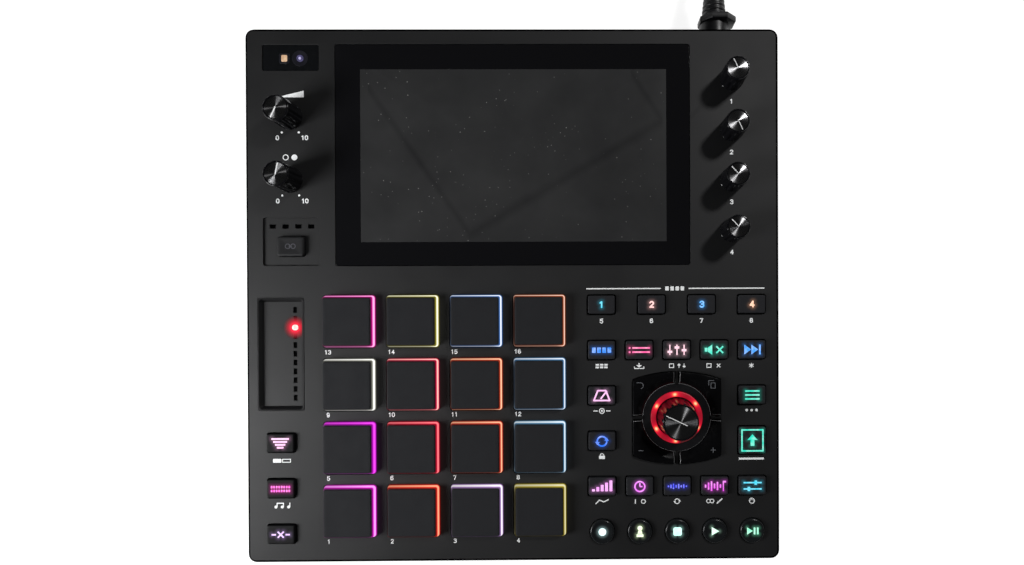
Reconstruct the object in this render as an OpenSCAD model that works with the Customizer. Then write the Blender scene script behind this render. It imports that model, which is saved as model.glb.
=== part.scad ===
// Desktop drum machine: sixteen pads, a touch screen, a data dial and rows of keys on a square panel.
// Lengths are millimetres and angles are degrees.
// The origin is the middle of the footprint at table level; +X is right, +Y is the rear and +Z is up.

/* [Case] */
// Width of the case, left to right
body_w = 270; // [270:1:300]
// Depth of the case, front to rear
body_d = 270; // [270:1:300]
// Height of the case above its feet
case_h = 36; // [36:1:48]
// Height of the lower shell's side walls
tray_h = 12; // [9:0.5:12]
// Radius of the upright corners
corner_r = 5; // [3.5:0.5:7]
// Thickness of the side walls and of the floor
wall = 2.6; // [2:0.2:3]
// Thickness of the panel
panel_t = 2.6; // [2.4:0.2:3.4]
// Width of the bevel around the panel
bevel = 0.9; // [0.4:0.1:1.4]
// Height of the rubber feet
foot_h = 3; // [2:0.5:6]
// Radius of the rubber feet
foot_r = 8; // [6:0.5:10]
// Distance of a foot's centre from the case's sides
foot_inset = 23; // [20:1:30]
// Gap around everything that is set into the panel
set_gap = 0.3; // [0.2:0.05:0.4]

/* [Inside] */
// Space between the panel and the circuit board
board_gap = 5.4; // [5.2:0.1:6]
// Thickness of the circuit board
board_t = 1.6; // [1.2:0.2:2]
// Radius of the screws' threads
screw_r = 1.5; // [1.25:0.25:1.5]
// Radius of the screws' heads
screw_head_r = 2.7; // [2.5:0.1:2.8]
// Length of a screw's thread
screw_l = 15; // [13:1:15]
// Radius of the posts that the screws pass through
post_r = 3.9; // [3.6:0.1:4]
// Radius of the bosses that the screws bite into
boss_r = 3; // [2.6:0.1:3.1]
// Distance of the corner posts from the case's sides
post_inset = 7; // [6.8:0.1:7.2]

/* [Screen] */
// Distance of the cover glass from the case's left and right sides
glass_side = 45.4; // [40:0.2:50]
// Distance between the cover glass and the bank keys
glass_gap = 15.2; // [13:0.2:18]
// Thickness of the cover glass
glass_t = 1.3; // [1:0.1:1.4]
// Distance of the glass from the case's rear edge
glass_rear = 8.1; // [7.5:0.1:10]
// Radius of the glass's corners
glass_r = 1.4; // [0.8:0.1:3]
// Width of the dark border on the display's left and right
display_side = 12.2; // [11:0.1:15]
// Width of the dark border at the display's front and rear
display_end = 12.15; // [11:0.05:14]
// How much the display's frame is larger than the display, on each side
display_frame = 5.6; // [5:0.1:6]

/* [Camera] */
// Width of the camera window
lens_w = 28.6; // [26:0.2:30]
// Depth of the camera window
lens_d = 13.2; // [12:0.1:15]
// Thickness of the camera window
lens_t = 1.3; // [1:0.1:1.3]
// Distance of the window and of the link recess from the case's left side
lens_left = 8.7; // [8:0.1:10]

/* [Pads] */
// Gap between neighbouring pads
pad_space = 5.6; // [5:0.1:7]
// How much a pad narrows to its top, on each side
pad_slope = 1.25; // [1:0.05:1.6]
// Height of a pad above the panel
pad_rise = 4.2; // [3:0.1:5]
// Distance of the pads from the case's left side
pad_left = 38.75; // [36:0.05:42]
// Distance of the pads from the case's front
pad_front = 12.8; // [12:0.1:15]
// Distance between the pads and the keys on their right
pad_right = 10.9; // [10.9:0.1:14]
// How far the pads reach behind the bank keys
pad_rear = 0.1; // [-2:0.1:1]
// Travel of a pad
pad_travel = 0.8; // [0.5:0.1:1]

/* [Keys] */
// Width of a key
key_w = 14.9; // [13.5:0.1:15.5]
// Depth of a key
key_d = 10.2; // [9:0.1:11]
// Height of a key above the panel
key_rise = 1.5; // [1.2:0.1:2.5]
// Travel of a key
key_travel = 0.8; // [0.4:0.1:0.9]
// Depth of the square mode key
shift_d = 14.7; // [13:0.1:16]
// Radius of a transport key
round_r = 6.2; // [5.5:0.1:6.4]
// Distance between neighbouring key columns
col_pitch = 19.07; // [18.6:0.01:19.2]
// Distance between neighbouring key rows
row_pitch = 23.04; // [22.6:0.01:23.2]
// Distance of the last column's centre from the case's right side
col_right = 14.22; // [13.8:0.02:14.6]
// Distance of the transport row's centre from the case's front
row_front = 14.8; // [14.6:0.1:15.4]
// Distance of the left keys' centres from the case's left side
left_key = 17.5; // [17.3:0.1:18.5]

/* [Data dial] */
// Width of the four corner keys together
dial_w = 44.7; // [43:0.1:46]
// Depth of the four corner keys together
dial_d = 46.7; // [45:0.1:48]
// Rise of the arch at the front and the rear of the corner keys
dial_arch = 3.9; // [3:0.1:4.6]
// Height of the corner keys above the panel
dial_rise = 1.5; // [1:0.1:2]
// Radius of the dished disc between the corner keys
disc_r = 17.4; // [16.8:0.1:18]
// Depth of the dished disc below the panel
disc_depth = 0.6; // [0.3:0.1:0.9]
// Outer radius of the lit ring
ring_r = 13.1; // [12.8:0.1:13.6]
// Width of the lit ring
ring_band = 2.5; // [2:0.1:2.7]
// Gap between neighbouring corner keys
cross_gap = 2.9; // [2.6:0.1:3.4]
// Width of the panel's rib in that gap
cross_rib = 1.9; // [1.4:0.1:2]

/* [Knobs] */
// Height of the knobs above the panel
knob_h = 15; // [13:0.5:17]
// Radius of the two level knobs at the foot
level_r = 6.7; // [6.2:0.1:7.4]
// Radius of the four small knobs at the foot
small_r = 6.2; // [5.6:0.1:6.8]
// Radius of the data knob at the foot
data_r = 10; // [9.4:0.1:10.2]
// How much a small or level knob narrows to its top
knob_taper = 0.8; // [0.4:0.1:1.2]
// How much the data knob narrows to its top
data_taper = 1.8; // [1:0.1:2.2]
// Depth of the flutes in a knob's side
flute_depth = 0.45; // [0.2:0.05:0.6]
// Radius of the knobs' shafts
shaft_r = 3; // [2.6:0.1:3.1]
// Running clearance around a shaft
shaft_gap = 0.05; // [0.02:0.01:0.08]
// Travel of the data knob when it is pressed
push_travel = 0.5; // [0.3:0.1:0.6]
// Distance of the level knobs from the case's left side
level_left = 22.8; // [22:0.1:24]
// Places of the level knobs, as shares of the way from the camera window to the link key's recess
level_shares = [0.316, 0.744];
// Distance of the small knobs from the case's right side
small_right = 24; // [23:0.1:25]
// Distance of the first small knob from the case's rear edge
small_rear = 25.7; // [24:0.1:27]
// Distance of the last small knob from the bank keys
small_gap = 32.4; // [30:0.1:40]

/* [Link key and touch strip] */
// Width of the link key's recess
link_w = 28.5; // [26:0.1:29]
// Depth of the link key's recess, front to rear
link_d = 24.3; // [22:0.1:25]
// How far the link key's recess lies below the panel
link_sink = 2.8; // [2:0.1:3]
// Height of the link key above its recess
link_rise = 4; // [3:0.1:4.5]
// Width of the touch strip with its frame
strip_w = 23.7; // [22:0.1:24.5]
// Length of the touch strip with its frame
strip_d = 57.3; // [54:0.1:60]
// Width of the touch strip's sloped frame
strip_edge = 2; // [1.6:0.1:2.4]
// How far the touch strip lies below the panel
strip_sink = 1.9; // [1.4:0.1:2.2]
// Number of lights beside the touch strip
strip_lights = 11; // [9:1:12]
// Distance between those lights
light_pitch = 4.47; // [4.2:0.01:4.7]

/* [Sockets and power lead] */
// Radius of a large jack socket's bore
jack_r = 3.3; // [3.2:0.05:3.4]
// Radius of a small jack socket's bore
mini_r = 1.85; // [1.8:0.05:1.9]
// Distance of the first large jack from the case's left side
jack_left = 23; // [22:0.5:26]
// Distance between neighbouring large jacks
jack_pitch = 19; // [18.5:0.5:20]
// Distance of the power socket from the case's right side
inlet_right = 29.4; // [27:0.2:32]
// Radius of the power socket's bore
inlet_r = 2.9; // [2.8:0.05:3]
// Width of the power plug's eight-sided collar across its flats
collar_w = 19; // [17:0.5:21]
// Radius of the power lead
cord_r = 2.5; // [2.2:0.1:2.5]
// Radius of the lead's coil at the middle of its turns
coil_r = 28; // [27:0.5:30]
// Width of the wall adaptor
adaptor_w = 45; // [40:1:50]
// Length of the wall adaptor's body
adaptor_l = 62; // [56:1:66]
// Height of the wall adaptor
adaptor_h = 30; // [26:1:34]

/* [Hidden] */
$fn = 48;
EPS = 0.01;

// Lip that keeps a key under the panel, and the floor over the link key's lip
lip = 0.8;
lip_t = 1;
lip_gap = 0.5;
link_lip_gap = 0.3;
link_floor = 1.6;

// Levels from the table upwards
z_floor = foot_h + wall;
z_split = foot_h + tray_h;
z_panel = foot_h + case_h;
z_under = z_panel - panel_t;
z_board = z_under - board_gap;
z_board_low = z_board - board_t;
z_disc = z_panel - disc_depth;
z_link = z_panel - link_sink;
z_strip = z_panel - strip_sink;
z_key = z_under - lip_gap;
z_link_key = z_link - link_floor - link_lip_gap;

// Keys and pads: their corners, and the gap above their switches
switch_gap = 0.3;
key_r = 1.4;
pad_r = 2.2;
pad_top_r = 1;
pad_cap_t = 1;
pad_step = 0.3;
pad_lip = 1;
link_w_key = 13.6;
link_d_key = 10;
link_offset = -2.4;
link_lights = 4;
link_light_w = 3.2;
link_light_d = 2.2;
link_light_pitch = 6.45;
link_light_y = 7.8;
link_corner_r = 1.2;
pan_wall = 1.5;

// Touch strip: flange under the panel, and the windows of its lights
strip_corner_r = 0.8;
strip_flange = 1.5;
strip_flange_t = 1.2;
strip_rear_step = 0.9;
strip_bevel = 0.2;
strip_light_w = 1.6;
strip_light_d = 2.5;
strip_light_in = 3.5;
strip_light_t = 0.7;

// Glass, camera window and display
glass_sink = 0.1;
glass_ledge = 10.2;
window_sink = 0.4;
camera_r = 3.2;
camera_x = 4.4;
camera_block = 8;
lamp_w = 3.4;
lamp_x = -3.2;
lens_corner_r = 0.9;
part_gap = 0.4;
ledge_w = 2.1;
display_gap = 0.3;
display_cell = 0.4;
display_y = -0.4;

// Circuit board: its edge, its switches and pad sensors, and the chips below it
board_edge_gap = 0.8;
board_corner_r = 1.6;
switch_r = 2.4;
dial_switch_r = 1.4;
dial_switch_in = 16.6;
sensor_r = 9;
chip_t = 1.4;
// Each chip's centre, width and depth
chips = [
    [-60, 20, 16, 16], [-20, 30, 14, 14], [20, 30, 12, 8], [-60, -50, 9, 12],
    [60, 60, 20, 12], [60, -30, 10, 10], [-30, -80, 12, 18], [90, 20, 8, 8]
];

// Places on the panel. The pads fill the space beside the keys, and the glass the space behind them
col_x = [for (i = [0:4]) body_w / 2 - col_right - (4 - i) * col_pitch];
bank_x = [for (i = [0:3]) col_x[0] + i * (col_x[4] - col_x[0]) / 3];
row_y = [for (i = [0:5]) -body_d / 2 + row_front + (5 - i) * row_pitch];
keys_left = col_x[0] - key_w / 2;
keys_rear = row_y[0] + key_d / 2;
pad_w = (keys_left - pad_right + body_w / 2 - pad_left - 3 * pad_space) / 4;
pad_d = (keys_rear + pad_rear + body_d / 2 - pad_front - 3 * pad_space) / 4;
pad_x = [for (i = [0:3]) -body_w / 2 + pad_left + pad_w / 2 + i * (pad_w + pad_space)];
pad_y = [for (i = [0:3]) -body_d / 2 + pad_front + pad_d / 2 + i * (pad_d + pad_space)];
glass_w = body_w - 2 * glass_side;
glass_d = body_d / 2 - glass_rear - keys_rear - glass_gap;
display_w = glass_w - 2 * display_side;
display_d = glass_d - 2 * display_end;
left_x = -body_w / 2 + left_key;
level_x = -body_w / 2 + level_left;
small_x = body_w / 2 - small_right;
small_first = body_d / 2 - small_rear;
small_y = [for (i = [0:3]) small_first - i * (small_first - keys_rear - small_gap) / 3];
dial_x = col_x[2];
dial_y = (row_y[2] + row_y[3]) / 2;
glass_y = body_d / 2 - glass_rear - glass_d / 2;
lens_x = -body_w / 2 + lens_left + lens_w / 2;
lens_y = body_d / 2 - glass_rear - lens_d / 2;
link_x = -body_w / 2 + lens_left + link_w / 2;
link_y = glass_y - glass_d / 2 + link_d / 2;
level_zone = [lens_y - lens_d / 2, link_y + link_d / 2];
level_y = [for (share = level_shares) level_zone[0] + share * (level_zone[1] - level_zone[0])];
strip_x = left_x;
strip_y = pad_y[3] + pad_d / 2 - strip_rear_step - strip_d / 2;

// Knobs: heights, flutes and where each pointer rests
knob_lift = 0.8;
small_flutes = 12;
data_flutes = 18;
flute_r = 1.1;
pointer_w = 0.9;
pointer_depth = 0.3;
shaft_in_knob = 10;
shaft_up = 2.2;
pot_w = 11;
pot_d = 12;
pot_floor = 0.6;
bushing_wall = 0.6;
data_pot_w = 13.6;
data_sink = 0.4;
data_bushing_drop = 0.8;
stem_gap = 0.2;
level_turn = [243, 80];
small_turn = [115, -63, 133, 133];
data_turn = 150;

// Dial: what the light ring stands on
ring_wall = 1;
ring_proud = 0.4;
ring_lip_t = 1.1;
dial_gap = 0.3;
dial_slope = 3.2;

// Rear sockets, from the left seen from above
socket_low = z_split + 0.8;
socket_rise = 6;
z_socket = socket_low + socket_rise;
jacks = 5;
jack_wall = 1.7;
jack_body_w = 17;
jack_body_l = 24;
jack_bore_l = 20;
mini_body_w = 10;
mini_body_l = 14;
mini_bore_l = 12;
mini_gap = 15;
mini_pitch = 11.5;
jack_first = -body_w / 2 + jack_left;
mini_first = jack_first + (jacks - 1) * jack_pitch + mini_gap;
mini_x = [mini_first, mini_first + mini_pitch];
// Each USB socket's distance from the case's right side, width and height
usb_square = [97, 12, 11];
usb_flat = [75, 13.2, 5.8];
usb_l = 15;
usb_wall = 1;
usb_lid = 0.6;
usb_back = 3;
tongue_t = 2;
tongue_in = 2.4;
inlet_x = body_w / 2 - inlet_right;
inlet_w = 14;
inlet_l = 14;
inlet_bore_l = 11;
face_gap = 0.1;
rear = body_d / 2;

// Case: posts, screws and vents
post_mid_x = (pad_x[3] + pad_w / 2 + pad_lip + col_x[0] - key_w / 2 - lip) / 2 + 0.2;
post_keys_gap = 7.9;
post_mid_y = keys_rear + post_keys_gap;
post_side_x = 100;
post_rear_x = (mini_x[1] + mini_body_w / 2 + body_w / 2 - usb_square[0] - usb_square[1] / 2) / 2;
posts = concat(
    [for (sx = [-1, 1], sy = [-1, 1])
        [sx * (body_w / 2 - post_inset), sy * (body_d / 2 - post_inset)]],
    [[post_rear_x, body_d / 2 - post_inset]],
    [for (side = [-1, 0, 1]) [side * post_side_x, post_mid_y]],
    [[post_mid_x, dial_y], [post_mid_x, -body_d / 2 + post_inset]]
);
screw_gap = 0.2;
thread_gap = 0.03;
screw_tip = 1;
thread_end = 0.4;
head_t = 2;
hex_r = 1.1;
hex_t = 1.2;
screw_up = z_under - screw_tip - screw_l;
vent_w = 2;
vent_l = 36;
vent_pitch = 6;
vents = 6;
vent_x = 60;
vent_y = -40;

// Power plug, from the case outwards along +Y
z_plug = z_socket;
plug_tip_r = 2.75;
plug_tip_l = 9.5;
nose_r = 7.6;
nose_l = 9.2;
nose_gap = 0.2;
collar_t = 3.4;
boot_r = 6.45;
boot_rib = 0.7;
boot_ribs = 4;
boot_rib_pitch = 2.4;
boot_rib_gap = 1;
boot_rib_step = 0.25;
boot_l = 25.2;
boot_neck_r = cord_r + 0.7;

// Coil: two turns across and four high, wound as a flat spiral in each layer
coil_turns_across = 2;
coil_layers = 4;
coil_x = 92;
coil_y = 218;
outer_turn = coil_r + coil_turns_across * cord_r;
coil_out = outer_turn + cord_r;
coil_in = coil_r - coil_turns_across * cord_r - cord_r;
coil_h = 2 * cord_r * coil_layers;

// Wall adaptor, lying on its back beside the coil with its pins up
adaptor_x = 56;
adaptor_y = coil_y + outer_turn;
adaptor_r = 5;
adaptor_boot_l = 12;
pin_x = 13;
adaptor_boot_r = 4.6;
z_tail = coil_h - cord_r;
pin_r = 2;
pin_l = 19;
pin_pitch = 19;
pin_step = 1.5;
pin_collar = 0.4;
adaptor_boot_up = 0.3;

// The lead's route from the plug to the coil, and from the coil to the adaptor
lead_route = [
    [105.6, 173, 21.8], [105.6, 176, 21.8], [106.1, 180, 21], [107.4, 184, 19.4],
    [110, 189, 16.6], [113.2, 194, 13.2], [116.7, 199, 9.8], [120, 204, 6.8],
    [122.7, 209, 4.4], [124.5, 214, 3], [125, 218, 2.6]
];
tail_route = [
    [92, 251, 17.5], [86, 251, 17.5], [80, 251, 17.6], [74, 251, 17.7], [71, 251, 17.8],
    [68, 251, 17.8]
];
tube_sides = 8;

function pad_name(i) = str("pad_", i < 9 ? "0" : "", i + 1);

// ---- Shapes that repeat ----

module rounded(w, d, r) {
    square([w - 2 * r, d], center = true);
    square([w, d - 2 * r], center = true);
    for (sx = [-1, 1], sy = [-1, 1])
        translate([sx * (w / 2 - r), sy * (d / 2 - r)]) circle(r);
}

module slab(w, d, r, low, high) {
    translate([0, 0, low]) linear_extrude(high - low) rounded(w, d, r);
}

module plain_slab(w, d, low, high) {
    translate([-w / 2, -d / 2, low]) cube([w, d, high - low]);
}

module disc(r, low, high) {
    translate([0, 0, low]) cylinder(r = r, h = high - low);
}

module rearwards(x, y, z) {
    translate([x, y, z]) rotate([-90, 0, 0]) children();
}

// A key with the lip that keeps it under the panel
module key_body(w, d, low, high) {
    slab(w, d, key_r, low - lip_t, high);
    slab(w + 2 * lip, d + 2 * lip, key_r + lip, low - lip_t, low);
}

module key_at(x, y, d = key_d) {
    translate([x, y, 0]) key_body(key_w, d, z_key, z_panel + key_rise);
}

module round_key_at(x, y) {
    translate([x, y, 0]) {
        disc(round_r, z_key - lip_t, z_panel + key_rise);
        disc(round_r + lip, z_key - lip_t, z_key);
    }
}

// Where every rectangular key stands, with its depth
rect_keys = concat(
    [for (x = bank_x) [x, row_y[0], key_d]],
    [for (x = col_x) [x, row_y[1], key_d]],
    [for (x = col_x) [x, row_y[4], key_d]],
    [for (i = [3:5]) [left_x, row_y[i], key_d]],
    [[col_x[0], row_y[2], key_d], [col_x[0], row_y[3], key_d]],
    [[col_x[4], row_y[2], key_d], [col_x[4], row_y[3], shift_d]]
);

// The corner keys' common outline: straight sides, arched front and rear
module dial_outline(grow) {
    arch_r = (dial_w * dial_w / 4) / (2 * dial_arch) + dial_arch / 2;
    intersection() {
        square([dial_w + 2 * grow, dial_d + 2 * grow], center = true);
        arch_side(1, arch_r, grow);
        arch_side(-1, arch_r, grow);
    }
}

module arch_side(side, arch_r, grow) {
    translate([0, side * (dial_d / 2 - arch_r)]) circle(arch_r + grow, $fn = 180);
}

module dial_quarter(sx, sy, grow, inner_r, half_gap) {
    difference() {
        intersection() {
            dial_outline(grow);
            translate([sx > 0 ? half_gap : -dial_w, sy > 0 ? half_gap : -dial_d])
                square([dial_w - half_gap, dial_d - half_gap]);
        }
        circle(inner_r);
    }
}

module corner_key(sx, sy) {
    low = z_key;
    inner = disc_r + dial_gap;
    translate([dial_x, dial_y, 0]) difference() {
        union() {
            translate([0, 0, low - lip_t]) linear_extrude(z_panel + dial_rise - low + lip_t)
                dial_quarter(sx, sy, 0, inner, cross_gap / 2);
            translate([0, 0, low - lip_t]) linear_extrude(lip_t)
                dial_quarter(sx, sy, lip, inner, cross_gap / 2);
        }
        translate([0, 0, z_disc])
            cylinder(r1 = inner, r2 = inner + dial_slope, h = z_panel + dial_rise - z_disc + EPS);
    }
}

// A fluted knob standing at the origin, with its pointer cut into the top
module knob_body(r, taper, h, flutes, turn, bore_depth) {
    lean = atan(taper / h);
    rotate(turn) difference() {
        cylinder(r1 = r, r2 = r - taper, h = h);
        for (i = [0:flutes - 1])
            rotate((i + 0.5) * 360 / flutes) translate([r + flute_r - flute_depth, 0, 0])
                rotate([0, -lean, 0]) translate([0, 0, -1]) cylinder(r = flute_r, h = h + 2);
        translate([0, 0, -EPS]) cylinder(r = shaft_r + shaft_gap, h = bore_depth + EPS);
        translate([0, -pointer_w / 2, h - pointer_depth])
            cube([r + 1, pointer_w, pointer_depth + EPS]);
    }
}

// A knob on its own potentiometer shaft
module panel_knob(x, y, r, turn) {
    foot = z_panel + knob_lift;
    translate([x, y, 0]) {
        translate([0, 0, foot])
            knob_body(r, knob_taper, knob_h - knob_lift, small_flutes, turn, shaft_in_knob);
        disc(shaft_r, z_board + shaft_up, foot + shaft_in_knob);
    }
}

// A tube of flat-sided rings along a list of points
function unit(v) = v / norm(v);
function heading(p, i) =
    unit(p[min(i + 1, len(p) - 1)] - p[max(i - 1, 0)]);
function across(t) = unit(cross(t, [0, 0, 1]));
function ring_points(p, i, r) =
    let (t = heading(p, i), a = across(t), b = cross(a, t))
    [for (k = [0:tube_sides - 1])
        let (q = 360 * k / tube_sides) p[i] + r * (cos(q) * a + sin(q) * b)];

module tube(p, r) {
    n = len(p);
    s = tube_sides;
    points = [for (i = [0:n - 1]) each ring_points(p, i, r)];
    walls = [for (i = [0:n - 2], k = [0:s - 1])
        [i * s + k, i * s + (k + 1) % s, (i + 1) * s + (k + 1) % s, (i + 1) * s + k]];
    first = [for (k = [s - 1:-1:0]) k];
    last = [for (k = [0:s - 1]) (n - 1) * s + k];
    polyhedron(points, concat(walls, [first, last]));
}

// ---- Case ----

module panel_holes() {
    for (x = pad_x, y = pad_y)
        translate([x, y]) rounded(pad_w + 2 * set_gap, pad_d + 2 * set_gap, pad_r + set_gap);
    for (k = rect_keys)
        translate([k[0], k[1]])
            rounded(key_w + 2 * set_gap, k[2] + 2 * set_gap, key_r + set_gap);
    for (x = col_x)
        translate([x, row_y[5]]) circle(round_r + set_gap);
    for (y = level_y)
        translate([level_x, y]) circle(shaft_r + shaft_gap + bushing_wall + set_gap);
    for (y = small_y)
        translate([small_x, y]) circle(shaft_r + shaft_gap + bushing_wall + set_gap);
    translate([dial_x, dial_y]) {
        for (sx = [-1, 1], sy = [-1, 1])
            dial_quarter(sx, sy, set_gap, disc_r, cross_rib / 2);
        circle(ring_r + face_gap);
    }
    translate([strip_x, strip_y]) rounded(strip_w, strip_d, strip_corner_r);
    translate([link_x, link_y]) rounded(link_w, link_d, link_corner_r);
    translate([0, glass_y])
        square([glass_w - 2 * glass_ledge, glass_d - 2 * glass_ledge], center = true);
    translate([lens_x, lens_y])
        square([lens_w - 2 * ledge_w, lens_d - 2 * ledge_w], center = true);
}

module panel_pockets() {
    translate([0, glass_y, 0])
        slab(glass_w + 2 * set_gap, glass_d + 2 * set_gap, glass_r,
             z_panel - glass_t - glass_sink, z_panel + 1);
    translate([lens_x, lens_y, 0])
        slab(lens_w, lens_d, lens_corner_r, z_panel - lens_t - window_sink, z_panel + 1);
    translate([dial_x, dial_y, 0]) disc(disc_r, z_disc, z_panel + 1);
}

module link_pan() {
    low = z_link - link_floor;
    translate([link_x, link_y, 0]) difference() {
        slab(link_w + 2 * pan_wall, link_d + 2 * pan_wall, link_corner_r + pan_wall,
             low, z_under + EPS);
        slab(link_w, link_d, link_corner_r, z_link, z_panel);
        translate([0, link_offset, 0])
            slab(link_w_key + 2 * set_gap, link_d_key + 2 * set_gap, key_r + set_gap,
                 low - 1, z_panel);
        for (i = [0:link_lights - 1])
            translate([(i - (link_lights - 1) / 2) * link_light_pitch, link_light_y, 0])
                plain_slab(link_light_w, link_light_d, low - 1, z_panel);
    }
}

module rear_wall_holes() {
    for (i = [0:jacks - 1])
        rearwards(jack_first + i * jack_pitch, rear - 2 * wall, z_socket)
            cylinder(r = jack_r + jack_wall + face_gap, h = 3 * wall);
    for (x = mini_x)
        rearwards(x, rear - 2 * wall, z_socket)
            cylinder(r = mini_r + jack_wall + face_gap, h = 3 * wall);
    for (u = [usb_square, usb_flat])
        translate([body_w / 2 - u[0] - u[1] / 2 - face_gap, rear - 2 * wall,
                   z_socket - u[2] / 2 - face_gap])
            cube([u[1] + 2 * face_gap, 3 * wall, u[2] + 2 * face_gap]);
    rearwards(inlet_x, rear - 2 * wall, z_socket)
        cylinder(r = inlet_r + 2 * jack_wall + face_gap, h = 3 * wall);
}

module top_case() color([0.13, 0.13, 0.14]) {
    top = [body_w - 2 * bevel, body_d - 2 * bevel];
    difference() {
        union() {
            difference() {
                slab(body_w, body_d, corner_r, z_split, z_panel - bevel);
                slab(body_w - 2 * wall, body_d - 2 * wall, corner_r - wall + 0.5,
                     z_split - 1, z_under);
            }
            translate([0, 0, z_panel - bevel])
                linear_extrude(bevel, scale = [top[0] / body_w, top[1] / body_d])
                    rounded(body_w, body_d, corner_r, $fn = 32);
            for (p = posts) translate([p[0], p[1], 0]) disc(boss_r, z_board, z_under + EPS);
        }
        translate([0, 0, z_under - 1]) linear_extrude(panel_t + 2) panel_holes();
        panel_pockets();
        rear_wall_holes();
        for (p = posts)
            translate([p[0], p[1], 0])
                disc(screw_r + thread_gap, z_board - 1, z_under - screw_tip + thread_end);
    }
    link_pan();
}

module bottom_cover() color([0.12, 0.12, 0.13]) difference() {
    union() {
        difference() {
            slab(body_w, body_d, corner_r, foot_h, z_split);
            slab(body_w - 2 * wall, body_d - 2 * wall, corner_r - wall + 0.5,
                 z_floor, z_split + 1);
        }
        for (p = posts)
            translate([p[0], p[1], 0]) disc(post_r, z_floor - EPS, z_board_low);
    }
    for (p = posts) translate([p[0], p[1], 0]) {
        disc(screw_head_r + screw_gap, foot_h - 1, screw_up);
        disc(screw_r + screw_gap, foot_h, z_board_low + 1);
    }
    for (side = [-1, 1], i = [0:vents - 1])
        translate([side * vent_x, vent_y + (i - (vents - 1) / 2) * vent_pitch, 0])
            plain_slab(vent_l, vent_w, foot_h - 1, z_floor + 1);
}

module rubber_feet() color([0.06, 0.06, 0.06])
    for (sx = [-1, 1], sy = [-1, 1])
        translate([sx * (body_w / 2 - foot_inset), sy * (body_d / 2 - foot_inset), 0])
            disc(foot_r, 0, foot_h);

module case_screws() color([0.55, 0.56, 0.58])
    for (p = posts) translate([p[0], p[1], 0]) difference() {
        union() {
            disc(screw_head_r, screw_up - head_t, screw_up);
            disc(screw_r, screw_up - EPS, screw_up + screw_l);
        }
        translate([0, 0, screw_up - head_t - EPS]) cylinder(r = hex_r, h = hex_t, $fn = 6);
    }

// ---- Screen, camera and boards ----

module touch_glass() color([0.03, 0.03, 0.03])
    translate([0, glass_y, 0])
        slab(glass_w, glass_d, glass_r - set_gap,
             z_panel - glass_t - glass_sink, z_panel - glass_sink);

module display_module() color([0.16, 0.16, 0.15])
    translate([0, glass_y + display_y, 0]) {
        plain_slab(display_w + 2 * display_frame, display_d + 2 * display_frame,
                   z_board, z_under - display_gap);
        plain_slab(display_w, display_d, z_under - display_gap - EPS,
                   z_panel - glass_t - glass_sink - display_cell);
    }

module camera_window() color([0.05, 0.06, 0.07])
    translate([lens_x, lens_y, 0])
        slab(lens_w - 2 * face_gap, lens_d - 2 * face_gap, lens_corner_r - face_gap,
             z_panel - lens_t - window_sink, z_panel - window_sink);

module board_switches() {
    top = z_key - lip_t - key_travel - switch_gap;
    for (k = rect_keys)
        translate([k[0], k[1], 0]) disc(switch_r, z_board - EPS, top);
    for (x = col_x)
        translate([x, row_y[5], 0]) disc(switch_r, z_board - EPS, top);
    for (sx = [-1, 1], sy = [-1, 1])
        translate([dial_x + sx * dial_switch_in, dial_y + sy * dial_switch_in, 0])
            disc(dial_switch_r, z_board - EPS, top);
    for (x = pad_x, y = pad_y)
        translate([x, y, 0])
            disc(sensor_r, z_board - EPS, z_key - lip_t - pad_travel - switch_gap);
    translate([link_x, link_y + link_offset, 0])
        disc(switch_r, z_board - EPS, z_link_key - lip_t - key_travel - switch_gap);
}

module board_parts() {
    lens_top = z_panel - lens_t - window_sink - part_gap;
    translate([lens_x + camera_x, lens_y, 0]) {
        plain_slab(camera_block, camera_block, z_board - EPS, z_under - part_gap);
        disc(camera_r, z_board - EPS, lens_top);
    }
    translate([lens_x + lamp_x, lens_y, 0]) plain_slab(lamp_w, lamp_w, z_board - EPS, lens_top);
    for (c = chips)
        translate([c[0], c[1], 0]) plain_slab(c[2], c[3], z_board_low - chip_t, z_board_low + EPS);
}

module control_board() color([0.05, 0.25, 0.12]) difference() {
    union() {
        slab(body_w - 2 * (wall + board_edge_gap), body_d - 2 * (wall + board_edge_gap),
             board_corner_r, z_board_low, z_board);
        board_switches();
        board_parts();
    }
    for (p = posts)
        translate([p[0], p[1], 0]) disc(screw_r + screw_gap, z_board_low - 2, z_board + 1);
}

module touch_strip() color([0.14, 0.14, 0.15])
    translate([strip_x, strip_y, 0]) {
        out_w = strip_w - 2 * face_gap;
        out_d = strip_d - 2 * face_gap;
        in_w = strip_w - 2 * strip_edge;
        in_d = strip_d - 2 * strip_edge;
        difference() {
            union() {
                slab(out_w, out_d, strip_corner_r - face_gap, z_under - strip_flange_t, z_panel);
                plain_slab(out_w + 2 * strip_flange, out_d + 2 * strip_flange,
                           z_under - strip_flange_t, z_under);
            }
            translate([0, 0, z_strip]) linear_extrude(strip_sink + EPS, slices = 1,
                scale = [(out_w - 2 * strip_bevel) / in_w, (out_d - 2 * strip_bevel) / in_d])
                square([in_w, in_d], center = true);
            for (i = [0:strip_lights - 1])
                translate([in_w / 2 - strip_light_in, (i - (strip_lights - 1) / 2) * light_pitch, 0])
                    plain_slab(strip_light_w, strip_light_d, z_strip - strip_light_t, z_panel);
        }
    }

// ---- Dial and knobs ----

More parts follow.
